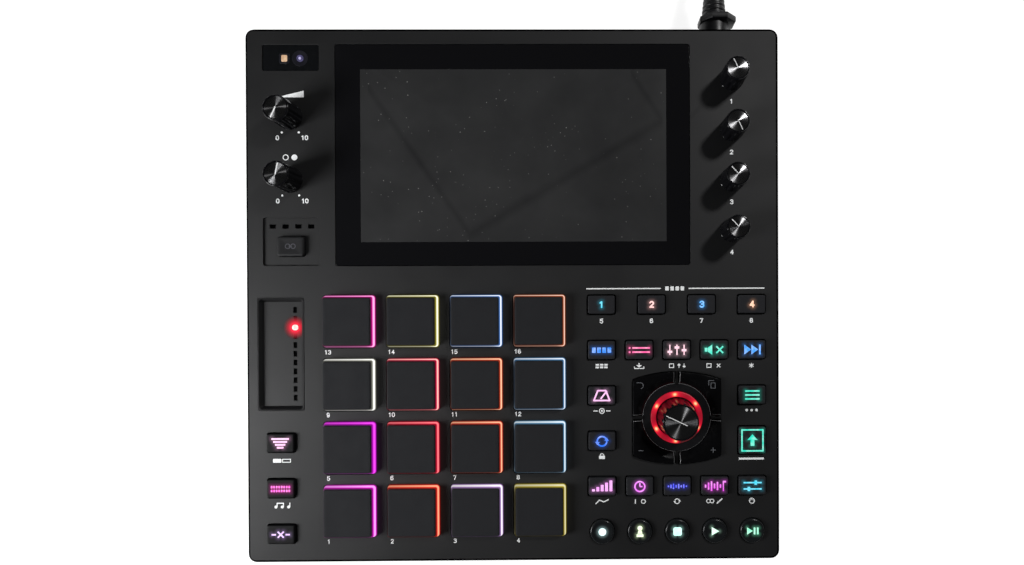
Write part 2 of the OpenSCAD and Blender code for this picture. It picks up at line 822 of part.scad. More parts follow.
module light_ring() color([0.9, 0.15, 0.15])
    translate([dial_x, dial_y, 0]) rotate_extrude() {
        inner = ring_r - ring_band;
        translate([inner, z_under - ring_lip_t - face_gap])
            square([ring_band, z_panel + ring_proud - z_under + ring_lip_t + face_gap]);
        translate([inner, z_under - ring_lip_t - face_gap])
            square([ring_band + face_gap + ring_wall, ring_lip_t]);
        translate([ring_r + face_gap, z_board])
            square([ring_wall, z_under - face_gap - z_board]);
    }

module pot(w, d, bushing_top) difference() {
    union() {
        plain_slab(w, d, z_board, z_under - part_gap);
        disc(shaft_r + shaft_gap + bushing_wall, z_board, bushing_top);
    }
    disc(shaft_r + shaft_gap, z_board + pot_floor, bushing_top + 1);
}

module rotary_controls() color([0.6, 0.61, 0.63]) {
    for (y = level_y) translate([level_x, y, 0]) pot(pot_w, pot_d, z_panel + part_gap);
    for (y = small_y) translate([small_x, y, 0]) pot(pot_w, pot_d, z_panel + part_gap);
    translate([dial_x, dial_y, 0]) pot(data_pot_w, data_pot_w, z_panel - data_sink - data_bushing_drop);
}

module master_knob() color([0.05, 0.05, 0.05])
    panel_knob(level_x, level_y[0], level_r, level_turn[0]);
module record_knob() color([0.05, 0.05, 0.05])
    panel_knob(level_x, level_y[1], level_r, level_turn[1]);
module small_knob(i) color([0.05, 0.05, 0.05])
    panel_knob(small_x, small_y[i], small_r, small_turn[i]);

module data_stem() color([0.6, 0.61, 0.63])
    translate([dial_x, dial_y, 0])
        disc(shaft_r, z_board + pot_floor + push_travel + stem_gap,
             z_panel - data_sink + shaft_in_knob);

module data_knob() color([0.05, 0.05, 0.05])
    translate([dial_x, dial_y, z_panel - data_sink])
        knob_body(data_r, data_taper, knob_h + data_sink, data_flutes, data_turn, shaft_in_knob);

// ---- Pads and keys ----

module pad(i) color([0.14, 0.14, 0.14])
    translate([pad_x[i % 4], pad_y[floor(i / 4)], 0]) {
        low = z_key - lip_t;
        cap = z_panel + pad_rise - pad_cap_t;
        top_w = pad_w - 2 * pad_slope;
        top_d = pad_d - 2 * pad_slope;
        slope = [(top_w + 2 * pad_step) / pad_w, (top_d + 2 * pad_step) / pad_d];
        slab(pad_w, pad_d, pad_r, low, z_panel);
        slab(pad_w + 2 * pad_lip, pad_d + 2 * pad_lip, pad_r + pad_lip, low, low + lip_t);
        translate([0, 0, z_panel - EPS])
            linear_extrude(cap - z_panel + EPS, scale = slope) rounded(pad_w, pad_d, pad_r, $fn = 24);
        slab(top_w, top_d, pad_top_r, cap - EPS, z_panel + pad_rise);
    }

key_black = [0.12, 0.12, 0.13];
module undo_key() color(key_black) corner_key(-1, 1);
module copy_key() color(key_black) corner_key(1, 1);
module minus_key() color(key_black) corner_key(-1, -1);
module plus_key() color(key_black) corner_key(1, -1);
module transport_key(i) color(key_black) round_key_at(col_x[i], row_y[5]);
module full_level_key() color(key_black) key_at(left_x, row_y[3]);
module levels_key() color(key_black) key_at(left_x, row_y[4]);
module erase_key() color(key_black) key_at(left_x, row_y[5]);
module tap_key() color(key_black) key_at(col_x[0], row_y[2]);
module repeat_key() color(key_black) key_at(col_x[0], row_y[3]);
module menu_key() color(key_black) key_at(col_x[4], row_y[2]);
module shift_key() color(key_black) key_at(col_x[4], row_y[3], shift_d);
module bank_keys() color(key_black) for (x = bank_x) key_at(x, row_y[0]);
module upper_keys() color(key_black) for (x = col_x) key_at(x, row_y[1]);
module lower_keys() color(key_black) for (x = col_x) key_at(x, row_y[4]);
module link_key() color(key_black)
    translate([link_x, link_y + link_offset, 0])
        key_body(link_w_key, link_d_key, z_link_key, z_link + link_rise);

// ---- Rear sockets and power lead ----

module jack(x, r, wall_r, body_w, body_l, bore_l) difference() {
    union() {
        rearwards(x, rear - wall - 1, z_socket) cylinder(r = wall_r, h = wall + 1);
        translate([x - body_w / 2, rear - wall - face_gap - body_l, socket_low])
            cube([body_w, body_l, z_board_low - socket_low]);
    }
    rearwards(x, rear - bore_l, z_socket) cylinder(r = r, h = bore_l + 1);
}

module usb(u) difference() {
    left = body_w / 2 - u[0] - u[1] / 2;
    translate([left, rear - usb_l, z_socket - u[2] / 2])
        cube([u[1], usb_l, z_board_low - z_socket + u[2] / 2]);
    translate([left - 1, rear - wall - face_gap, z_socket + u[2] / 2])
        cube([u[1] + 2, wall + 1, z_board_low]);
    difference() {
        translate([left + usb_wall, rear - usb_l + usb_back, z_socket - u[2] / 2 + usb_lid])
            cube([u[1] - 2 * usb_wall, usb_l, u[2] - 2 * usb_lid]);
        translate([left + tongue_in, rear - usb_l, z_socket - tongue_t / 2])
            cube([u[1] - 2 * tongue_in, usb_l - usb_wall, tongue_t]);
    }
}

module rear_sockets() color([0.08, 0.08, 0.09]) {
    for (i = [0:jacks - 1])
        jack(jack_first + i * jack_pitch, jack_r, jack_r + jack_wall,
             jack_body_w, jack_body_l, jack_bore_l);
    for (x = mini_x)
        jack(x, mini_r, mini_r + jack_wall, mini_body_w, mini_body_l, mini_bore_l);
    usb(usb_square);
    usb(usb_flat);
    jack(inlet_x, inlet_r, inlet_r + 2 * jack_wall, inlet_w, inlet_l, inlet_bore_l);
}

module dc_plug() color([0.05, 0.05, 0.05]) {
    nose = rear + nose_gap;
    rearwards(inlet_x, nose - plug_tip_l, z_plug) cylinder(r = plug_tip_r, h = plug_tip_l + 1);
    rearwards(inlet_x, nose, z_plug) cylinder(r = nose_r, h = nose_l + EPS);
    rearwards(inlet_x, nose + nose_l, z_plug)
        rotate(22.5) cylinder(r = collar_w / 2 / cos(22.5), h = collar_t, $fn = 8);
    rearwards(inlet_x, nose + nose_l + collar_t - EPS, z_plug) rotate_extrude() boot_profile();
}

// Half a section of the ribbed, tapered strain relief
module boot_profile() {
    ribs_l = boot_ribs * boot_rib_pitch;
    polygon([[0, 0], [boot_r - boot_rib, 0], [boot_r - boot_rib, ribs_l],
             [boot_neck_r, boot_l + EPS], [0, boot_l + EPS]]);
    for (i = [0:boot_ribs - 1])
        translate([0, i * boot_rib_pitch + boot_rib_gap / 2])
            square([boot_r - i * boot_rib_step, boot_rib_pitch - boot_rib_gap]);
}

module dc_lead() color([0.05, 0.05, 0.05]) {
    tube(lead_route, cord_r);
    tube(tail_route, cord_r);
}

module dc_lead_coil() color([0.05, 0.05, 0.05])
    translate([coil_x, coil_y, 0]) rotate_extrude()
        translate([coil_in, 0]) square([coil_out - coil_in, coil_h]);

module wall_adaptor() color([0.06, 0.06, 0.06]) {
    translate([adaptor_x - adaptor_l / 2, adaptor_y, 0])
        slab(adaptor_l, adaptor_w, adaptor_r, 0, adaptor_h);
    translate([adaptor_x - EPS, adaptor_y, z_tail + adaptor_boot_up]) rotate([0, 90, 0])
        cylinder(r1 = adaptor_boot_r, r2 = boot_neck_r, h = adaptor_boot_l);
    for (side = [-1, 1])
        translate([adaptor_x - adaptor_l + pin_x, adaptor_y + side * pin_pitch / 2, adaptor_h - EPS]) {
            cylinder(r = pin_r + pin_collar, h = pin_step);
            cylinder(r = pin_r, h = pin_l);
        }
}

top_case();
bottom_cover();
touch_glass();
display_module();
control_board();
touch_strip();
camera_window();
light_ring();
rotary_controls();
rear_sockets();
rubber_feet();
case_screws();
dc_plug();
dc_lead();
dc_lead_coil();
wall_adaptor();
for (i = [0:15]) pad(i);
master_knob();
record_knob();
small_knob(0);  // knob_1
small_knob(1);  // knob_2
small_knob(2);  // knob_3
small_knob(3);  // knob_4
data_stem();
data_knob();
undo_key();
copy_key();
minus_key();
plus_key();
transport_key(0);  // record_key
transport_key(1);  // overdub_key
transport_key(2);  // stop_key
transport_key(3);  // play_key
transport_key(4);  // pause_key
link_key();
full_level_key();
levels_key();
erase_key();
tap_key();
repeat_key();
menu_key();
shift_key();
bank_keys();
upper_keys();
lower_keys();
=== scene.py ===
"""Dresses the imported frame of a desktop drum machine: panel, screen, pads, keys, dial, knobs and lead."""

import math

import bmesh
import bpy
import numpy as np
from bpy.props import FloatProperty, FloatVectorProperty, PointerProperty
from mathutils import Euler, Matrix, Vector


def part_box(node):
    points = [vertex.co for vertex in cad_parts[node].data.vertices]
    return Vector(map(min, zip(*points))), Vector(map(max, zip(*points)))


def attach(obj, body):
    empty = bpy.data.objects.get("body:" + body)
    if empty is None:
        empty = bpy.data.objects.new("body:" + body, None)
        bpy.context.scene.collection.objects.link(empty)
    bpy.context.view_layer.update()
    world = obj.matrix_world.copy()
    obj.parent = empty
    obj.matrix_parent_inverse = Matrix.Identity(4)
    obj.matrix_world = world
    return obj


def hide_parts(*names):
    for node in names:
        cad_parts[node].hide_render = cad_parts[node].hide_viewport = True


bl_info = {
    "name": "Desktop drum machine",
    "version": (1, 0, 0),
    "blender": (4, 5, 0),
    "location": "3D View > Sidebar > Drum machine",
    "description": "Panel, screen, pads, keys, dial, knobs and lead of a desktop drum machine",
    "category": "Object",
}

MM = 0.001
CASE = "case"
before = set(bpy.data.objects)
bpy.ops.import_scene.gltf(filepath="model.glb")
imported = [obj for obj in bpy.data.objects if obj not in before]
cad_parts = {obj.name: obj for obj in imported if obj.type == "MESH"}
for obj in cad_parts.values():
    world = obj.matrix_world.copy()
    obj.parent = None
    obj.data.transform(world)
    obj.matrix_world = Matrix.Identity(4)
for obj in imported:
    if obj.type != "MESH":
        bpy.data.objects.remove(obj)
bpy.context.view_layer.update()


def low(node):
    """Lowest corner of a CAD node, in millimetres."""
    return np.array(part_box(node)[0]) / MM


def high(node):
    """Highest corner of a CAD node, in millimetres."""
    return np.array(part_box(node)[1]) / MM


def middle(node):
    """Middle of a CAD node's box, in millimetres."""
    return (low(node) + high(node)) / 2


def plan(box):
    """Width, depth and middle of a box, seen from above."""
    a, b = box
    return b[0] - a[0], b[1] - a[1], (a + b)[:2] / 2


# Names of the nodes, by kind
LEVEL_KNOBS = ["master_knob", "record_knob"]
SMALL_KNOBS = ["knob_1", "knob_2", "knob_3", "knob_4"]
PADS = [f"pad_{i + 1:02d}" for i in range(16)]
STRIPS = {"bank_keys": 4, "upper_keys": 5, "lower_keys": 5}
LEFT_KEYS = ("full_level_key", "levels_key", "erase_key")
CORNER_KEYS = {"undo_key": (-1, 1), "copy_key": (1, 1), "minus_key": (-1, -1), "plus_key": (1, -1)}

# Sizes that several pieces share, in millimetres
PANEL_THICK = 2.6
DISC_DROP = 0.6
KEY_GAP = 0.3
FLANGE = 1.0
FLANGE_STEP = 0.01
PAD_LIP = 1.0
KEY_LIP = 0.8
KEY_EASE = (0.7, 0.4)
CAP_EASE = 0.6
SQUARE_KEY = 18.0
PRINT_LIFT = 0.005

# Levels and places that the frame gives, in millimetres
Z_PANEL = high("top_case")[2]
Z_SPLIT = low("top_case")[2]
Z_UNDER = Z_PANEL - PANEL_THICK
Z_DISC = Z_PANEL - DISC_DROP
KEY_LOW = low("full_level_key")[2]
DIAL = middle("light_ring")[:2]
GLASS = (low("touch_glass"), high("touch_glass"))
CAMERA_GLASS = (low("camera_window"), high("camera_window"))
PLUG_X, _, PLUG_Z = middle("dc_plug")
REAR = high("top_case")[1]
COIL = middle("dc_lead_coil")[:2]
ADAPTOR = (low("wall_adaptor"), high("wall_adaptor"))


def key_centres(node):
    """Centres of the keys in a node, and a key's width and depth, from the node's box less its flange and the
    ease that a narrow key has in its hole."""
    a, b = low(node), high(node)
    narrow = high("full_level_key")[0] - low("full_level_key")[0]
    depth = b[1] - a[1] - 2 * KEY_LIP - KEY_EASE[1]
    if node in STRIPS or b[0] - a[0] < SQUARE_KEY:
        width = narrow - 2 * KEY_LIP - KEY_EASE[0]
    else:
        width = b[0] - a[0] - 2 * KEY_LIP
    if node in STRIPS:
        across = np.linspace(a[0] + narrow / 2, b[0] - narrow / 2, STRIPS[node])
    else:
        across = [(a[0] + b[0]) / 2]
    return [(x, (a[1] + b[1]) / 2) for x in across], width, depth


# ------------------------------------------------ surfaces

def rounded_loop(width, depth, radius, inset=0.0, per_corner=6, along=0):
    """Outlines of a rounded rectangle, anticlockwise, one for each inset: rows x points x 2.

    A point is its corner's centre plus the corner's radius in the direction of its angle. An inset shortens
    the radius, and where that is used up it moves the corner's centre. Each straight side gets as many
    points as along says, evenly between the corners at its ends."""
    inset = np.atleast_1d(np.asarray(inset, float))[:, None, None]
    angle = np.linspace(0, math.pi / 2, per_corner)[None, :] + np.arange(4)[:, None] * math.pi / 2
    left = np.maximum(radius - inset, 0.05)
    x = np.array([1, -1, -1, 1])[:, None] * (width / 2 - inset - left) + left * np.cos(angle)
    y = np.array([1, 1, -1, -1])[:, None] * (depth / 2 - inset - left) + left * np.sin(angle)
    corners = np.stack([x, y], -1)
    start, end = corners[:, :, -1:], np.roll(corners, -1, axis=1)[:, :, :1]
    share = (np.arange(along) + 1)[:, None] / (along + 1)
    return np.concatenate([corners, start + (end - start) * share], 2).reshape(len(corners), -1, 2)


def circle_loop(radius, points=48, start=0.0):
    """Outlines of circles, anticlockwise, one for each radius: rows x points x 2."""
    radius = np.atleast_1d(np.asarray(radius, float))[:, None]
    angle = start + np.arange(points) * 2 * math.pi / points
    return np.stack([radius * np.cos(angle), radius * np.sin(angle)], -1)


def raise_loops(loops, heights, place=(0, 0)):
    """Rows of outlines lifted to one height a row and moved to their place: rows x points x 3."""
    heights = np.broadcast_to(np.asarray(heights, float).reshape(len(loops), -1), loops.shape[:2])
    flat = loops + np.asarray(place, float)
    return np.concatenate([flat, heights[..., None]], -1)


# The caps of a surface that is left open at both ends
OPEN = (False, False)


def skin(rows, caps=(True, True)):
    """Faces between neighbouring rows of a grid of points, with a fan over each capped end."""
    rows = np.asarray(rows, float)
    count, around = rows.shape[:2]
    points = rows.reshape(-1, 3)
    i = np.arange(count - 1)[:, None] * around
    j = np.arange(around)[None, :]
    k = (j + 1) % around
    faces = np.stack([i + j, i + k, i + around + k, i + around + j], -1).reshape(-1, 4).tolist()
    for end, row, order in ((0, 0, (1, 0)), (1, count - 1, (0, 1))):
        if caps[end]:
            hub = len(points)
            points = np.vstack([points, points[row * around:(row + 1) * around].mean(0)])
            ring = row * around + np.vstack([j, k])
            faces += np.stack([ring[order[0]], ring[order[1]], np.full(around, hub)], -1).tolist()
    return points, faces


def quarter(radius, steps=5):
    """Inset and drop of a rounded edge: a quarter circle from the upright side to the flat top."""
    t = np.linspace(0, math.pi / 2, steps)
    return radius * (1 - np.cos(t)), radius * (1 - np.sin(t))


def inwards(rows, scale):
    """Outlines with scaled copies of the last one after them, one for each scale."""
    return np.concatenate([rows, rows[-1][None] * scale[:, None, None]])


def rounded_block(width, depth, radius, floor, top, edge, place=(0, 0), rings=1, dome=0.0):
    """A block with upright sides, a rounded upper edge and a top that rises by dome towards its middle.

    Rows go up the side, round the quarter circle of the edge, and inwards over the top as scaled copies of
    the outline, which rise as 1 - scale squared."""
    inset, drop = quarter(edge)
    sides = rounded_loop(width, depth, radius, np.concatenate([[0], inset]))
    scale = np.linspace(1, 0.1, rings + 1)[1:]
    heights = np.concatenate([[floor], top - drop, top + dome * (1 - scale ** 2)])
    return skin(raise_loops(inwards(sides, scale), heights, place))


def flanged_key(size, corner, edge, floor, top, place, scale, dip=0.0, per_corner=6, along=0):
    """A key that stands on a flange, and whose top sinks by dip towards its middle.

    Rows go up the flange's side and in over it to the key, up the key's side, round the quarter circle of
    its edge (inset and drop), and inwards over the top as scaled copies, which sink as 1 - scale squared."""
    inset, drop = edge
    rows = rounded_loop(*size, corner, np.concatenate([[-KEY_LIP, -KEY_LIP, 0], inset]), per_corner, along)
    heights = np.concatenate([[floor, floor + FLANGE, floor + FLANGE + FLANGE_STEP], top - drop,
                              top - dip * (1 - scale ** 2)])
    return skin(raise_loops(inwards(rows, scale), heights, place))


def lathe(profile, points=64, place=(0, 0), caps=(True, True), squeeze=None):
    """A profile of radius and height pairs turned about an upright axis; squeeze(angle, height) scales it."""
    profile = np.asarray(profile, float)
    angle = np.arange(points) * 2 * math.pi / points
    radius = profile[:, :1] * np.ones(points)
    if squeeze is not None:
        radius = radius * squeeze(angle[None, :], profile[:, 1:])
    loops = np.stack([radius * np.cos(angle), radius * np.sin(angle)], -1)
    return skin(raise_loops(loops, profile[:, 1], place), caps=caps)


def rearward(part, x, y, z):
    """A part made about +Z, turned so that it lies along +Y and starts at the given point."""
    points, faces = part
    return np.stack([points[:, 0] + x, points[:, 2] + y, -points[:, 1] + z], -1), faces


def swing(part, degrees, place=(0, 0)):
    """A part turned about the upright axis through the origin, then moved to its place."""
    points, *rest = part
    t = math.radians(degrees)
    x, y, z = points.T
    turned = [x * math.cos(t) - y * math.sin(t) + place[0], x * math.sin(t) + y * math.cos(t) + place[1], z]
    return np.stack(turned, -1), *rest


def smooth_path(points, per_step):
    """A Catmull-Rom curve through points: each stretch is the cubic whose end slopes are half the chord
    between the neighbours on both sides."""
    p = np.asarray(points, float)
    p = np.vstack([2 * p[0] - p[1], p, 2 * p[-1] - p[-2]])
    t = (np.arange(per_step) / per_step)[None, :, None]
    a, b, c, d = (p[i:len(p) - 3 + i, None, :] for i in range(4))
    curve = 0.5 * (2 * b + (c - a) * t + (2 * a - 5 * b + 4 * c - d) * t ** 2
                   + (3 * b - a - 3 * c + d) * t ** 3)
    return np.vstack([curve.reshape(-1, 3), p[-2]])


def tube(path, radius, sides):
    """A circle carried along a path at right angles to it, with its first spoke kept level."""
    path = np.asarray(path, float)
    along = np.gradient(path, axis=0)
    along /= np.linalg.norm(along, axis=1)[:, None]
    level = np.cross(along, [0, 0, 1.0])
    level /= np.linalg.norm(level, axis=1)[:, None]
    rise = np.cross(level, along)
    angle = np.arange(sides) * 2 * math.pi / sides
    spoke = level[:, None] * np.cos(angle)[:, None] + rise[:, None] * np.sin(angle)[:, None]
    return skin((path[:, None] + radius * spoke)[:, ::-1])


# ------------------------------------------------ flat marks

def bar(x0, y0, x1, y1, width=0.7):
    """A straight stroke between two points."""
    a, b = np.array([x0, y0], float), np.array([x1, y1], float)
    side = np.array([a[1] - b[1], b[0] - a[0]])
    side *= width / 2 / np.linalg.norm(side)
    return [np.array([a + side, a - side, b - side, b + side])]


def line(points, width=0.7):
    """Strokes from point to point, with a dot at each bend."""
    marks = []
    for a, b in zip(points[:-1], points[1:]):
        marks += bar(*a, *b, width)
    for p in points:
        marks += dot(*p, width / 2, 10)
    return marks


def dot(x, y, radius, points=18):
    """A filled circle."""
    return [circle_loop(radius, points)[0] + [x, y]]


def arc(x, y, radius, start=0, end=360, width=0.6, steps=20):
    """A stroke along part of a circle, as a row of four-sided pieces."""
    a = np.radians(np.linspace(start, end, steps + 1))
    ring = np.stack([np.cos(a), np.sin(a)], -1)
    inner, outer = ring * (radius - width / 2) + [x, y], ring * (radius + width / 2) + [x, y]
    return list(np.stack([inner[:-1], outer[:-1], outer[1:], inner[1:]], 1))


def block(x, y, width, height, radius=0.25):
    """A filled rectangle with rounded corners."""
    return [rounded_loop(width, height, min(radius, width / 2.2, height / 2.2), per_corner=4)[0] + [x, y]]


def frame_of(x, y, width, height, stroke=0.6):
    """An outlined rectangle."""
    w, h = width / 2 - stroke / 2, height / 2 - stroke / 2
    return line([(x - w, y - h), (x + w, y - h), (x + w, y + h), (x - w, y + h), (x - w, y - h)], stroke)


def wedge(*corners):
    """A filled shape from its corners, anticlockwise."""
    return [np.array(corners, float)]


def columns(heights, left, step, width):
    """A row of upright bars about one level, of the given heights."""
    return [m for i, height in enumerate(heights) for m in block(left + i * step, 0, width, height)]


GOLDEN_STEP = 0.618
TOP_SPREAD = 0.015


def plates(marks, floor, thickness=0.04, place=(0, 0)):
    """Thin closed plates: each mark's outline as an upper and a lower face and the side between them.

    Plates that overlap get tops a few microns apart, a golden-section step from one to the next, so that
    no two lie in one plane."""
    points, faces = [], []
    for i, mark in enumerate(marks):
        n, start = len(mark), len(points)
        flat = np.asarray(mark) + np.asarray(place)
        top = floor + thickness + TOP_SPREAD * (GOLDEN_STEP * i % 1)
        below = np.column_stack([flat, np.full(n, floor)])
        above = np.column_stack([flat, np.full(n, top)])
        points += below.tolist() + above.tolist()
        ring = np.arange(n)
        faces += [(start + ring[::-1]).tolist(), (start + n + ring).tolist()]
        faces += np.stack([start + ring, start + (ring + 1) % n,
                           start + n + (ring + 1) % n, start + n + ring], -1).tolist()
    return np.array(points), faces


CELL = (5, 8)
CELL_STEP = 7.4
NUMERALS = {
    "0": [(1.5, 0), (3.5, 0), (5, 1.5), (5, 6.5), (3.5, 8), (1.5, 8), (0, 6.5), (0, 1.5), (1.5, 0)],
    "1": [(0.8, 6.5), (2.8, 8), (2.8, 0)],
    "2": [(0, 6.4), (1.5, 8), (3.5, 8), (5, 6.6), (5, 5.1), (0, 0), (5, 0)],
    "3": [(0, 6.8), (1.3, 8), (3.6, 8), (4.8, 6.8), (4.8, 5.4), (3.5, 4.3), (2, 4.3), (3.5, 4.3), (5, 3),
          (5, 1.4), (3.6, 0), (1.3, 0), (0, 1.2)],
    "4": [(3.8, 0), (3.8, 8), (0, 2.4), (5.3, 2.4)],
    "5": [(4.8, 8), (0.6, 8), (0.3, 4.5), (1.5, 5.1), (3.5, 5.1), (5, 3.7), (5, 1.5), (3.5, 0), (1.3, 0),
          (0, 1.2)],
    "6": [(4.7, 6.9), (3.5, 8), (1.5, 8), (0, 6.5), (0, 1.5), (1.5, 0), (3.5, 0), (5, 1.5), (5, 3.3),
          (3.5, 4.8), (1.5, 4.8), (0, 3.4)],
    "7": [(0, 8), (5, 8), (1.8, 0)],
    "8": [(1.5, 4.3), (0.3, 5.4), (0.3, 6.9), (1.5, 8), (3.5, 8), (4.7, 6.9), (4.7, 5.4), (3.5, 4.3),
          (1.5, 4.3), (0, 3), (0, 1.4), (1.4, 0), (3.6, 0), (5, 1.4), (5, 3), (3.5, 4.3)],
    "9": [(0.3, 1.1), (1.5, 0), (3.5, 0), (5, 1.5), (5, 6.5), (3.5, 8), (1.5, 8), (0, 6.5), (0, 4.7),
          (1.5, 3.2), (3.5, 3.2), (5, 4.6)],
}


def number(text, x, y, height, width):
    """A plain number in even strokes on a row of cells, centred on a place."""
    scale = (height - width) / CELL[1]
    marks = []
    for i, sign in enumerate(text):
        left = (i - (len(text) - 1) / 2) * CELL_STEP - CELL[0] / 2
        marks += line([(x + (left + u) * scale, y + (v - CELL[1] / 2) * scale) for u, v in NUMERALS[sign]],
                      width)
    return marks


# ------------------------------------------------ pieces

def make(name, parts, materials, body, replaced=(), crease=35, weighted=False, merge=False):
    """A piece from parts in millimetres. A part is its points and faces, with the number of its material."""
    points, faces, numbers = [], [], []
    start = 0
    for part in parts:
        points.append(part[0])
        faces += [[start + v for v in face] for face in part[1]]
        numbers += [part[2] if len(part) > 2 else 0] * len(part[1])
        start += len(part[0])
    mesh = bpy.data.meshes.new(name)
    mesh.from_pydata(np.vstack(points) * MM, [], faces)
    mesh.polygons.foreach_set("material_index", numbers)
    for material in materials:
        mesh.materials.append(material)
    if merge:
        bm = bmesh.new()
        bm.from_mesh(mesh)
        bmesh.ops.remove_doubles(bm, verts=bm.verts, dist=1e-7)
        bm.to_mesh(mesh)
        bm.free()
    mesh.shade_smooth()
    mesh.set_sharp_from_angle(angle=math.radians(crease))
    piece = bpy.data.objects.new(name, mesh)
    bpy.context.scene.collection.objects.link(piece)
    if weighted:
        piece.modifiers.new("even_shading", "WEIGHTED_NORMAL").keep_sharp = True
    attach(piece, body)
    if replaced:
        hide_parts(*replaced)
    return piece


def give_values(piece, name, values):
    """Stores one number for each vertex, for the materials to read."""
    values = np.asarray(values, np.float32)
    piece.data.attributes.new(name, "FLOAT", "POINT").data.foreach_set("value", values)


def coordinates(piece):
    """A piece's vertices in millimetres, as one array."""
    flat = np.empty(len(piece.data.vertices) * 3, np.float32)
    piece.data.vertices.foreach_get("co", flat)
    return flat.reshape(-1, 3) / MM


def carve(part, cutters):
    """A part with closed cutters taken out of it by Blender's exact solver."""
    def holder(name, bits):
        """An object for the solver, with all the bits in one mesh."""
        mesh = bpy.data.meshes.new(name)
        count = np.cumsum([0] + [len(p) for p, _ in bits])
        mesh.from_pydata(np.vstack([p for p, _ in bits]), [],
                         [[v + c for v in f] for c, (_, fs) in zip(count, bits) for f in fs])
        made = bpy.data.objects.new(name, mesh)
        bpy.context.scene.collection.objects.link(made)
        return made
    solid, tool = holder("solid", [part]), holder("tool", cutters)
    cut = solid.modifiers.new("cut", "BOOLEAN")
    cut.object = tool
    cut.operation = "DIFFERENCE"
    cut.solver = "EXACT"
    bpy.context.view_layer.update()
    result = bpy.data.meshes.new_from_object(solid.evaluated_get(bpy.context.evaluated_depsgraph_get()))
    flat = np.empty(len(result.vertices) * 3, np.float32)
    result.vertices.foreach_get("co", flat)
    faces = [list(face.vertices) for face in result.polygons]
    for o in (solid, tool):
        bpy.data.objects.remove(o)
    return flat.reshape(-1, 3).astype(float), faces


# ------------------------------------------------ materials

def shade(colour, factor):
    """A colour made lighter or darker."""
    return tuple(min(c * factor, 1.0) for c in colour)


def tint(red, green, blue):
    """A screen colour, 0 to 255 each, as the linear values that shaders take."""
    c = np.array([red, green, blue]) / 255
    return tuple(float(v) for v in np.where(c <= 0.04045, c / 12.92, ((c + 0.055) / 1.055) ** 2.4))


class Wiring:
    """Shorthand for adding nodes to a node tree and linking them."""

    def __init__(self, tree):
        self.nodes, self.links = tree.nodes, tree.links

    def node(self, kind, **inputs):
        """A new node. A name that starts with _ is a property of it, and any other is one of its sockets."""
        made = self.nodes.new(kind)
        for key, value in inputs.items():
            if key.startswith("_"):
                setattr(made, key[1:], value)
            else:
                made.inputs[key.replace("_", " ")].default_value = value
        return made

    def join(self, source, target):
        """Links a source to a socket."""
        self.links.new(source, target)

    def maths(self, kind, a, b, clamp=False):
        """One sum of two sources or numbers."""
        made = self.node("ShaderNodeMath", _operation=kind, _use_clamp=clamp)
        for socket, source in zip(made.inputs, (a, b)):
            if isinstance(source, (int, float)):
                socket.default_value = source
            else:
                self.join(source, socket)
        return made.outputs["Value"]

    def bend(self, source, low_in, high_in, low_out, high_out):
        """A source carried from one range to another, and held at the ends."""
        made = self.node("ShaderNodeMapRange", From_Min=low_in, From_Max=high_in, To_Min=low_out,
                         To_Max=high_out)
        self.join(source, made.inputs["Value"])
        return made.outputs["Result"]

    def axes(self, source):
        """The X, Y and Z of a place."""
        apart = self.node("ShaderNodeSeparateXYZ")
        self.join(source, apart.inputs["Vector"])
        return apart.outputs

    def show(self, plain, shown, output, path):
        """One shader for the light on the object, and another for camera, glossy and transmission rays."""
        seen = path.outputs["Is Camera Ray"]
        for name in ("Is Glossy Ray", "Is Transmission Ray"):
            seen = self.maths("ADD", seen, path.outputs[name], True)
        mixed = self.node("ShaderNodeMixShader")
        for source, socket in zip((seen, plain.outputs[0], shown.outputs[0]), mixed.inputs):
            self.join(source, socket)
        self.join(mixed.outputs[0], self.nodes[output].inputs["Surface"])


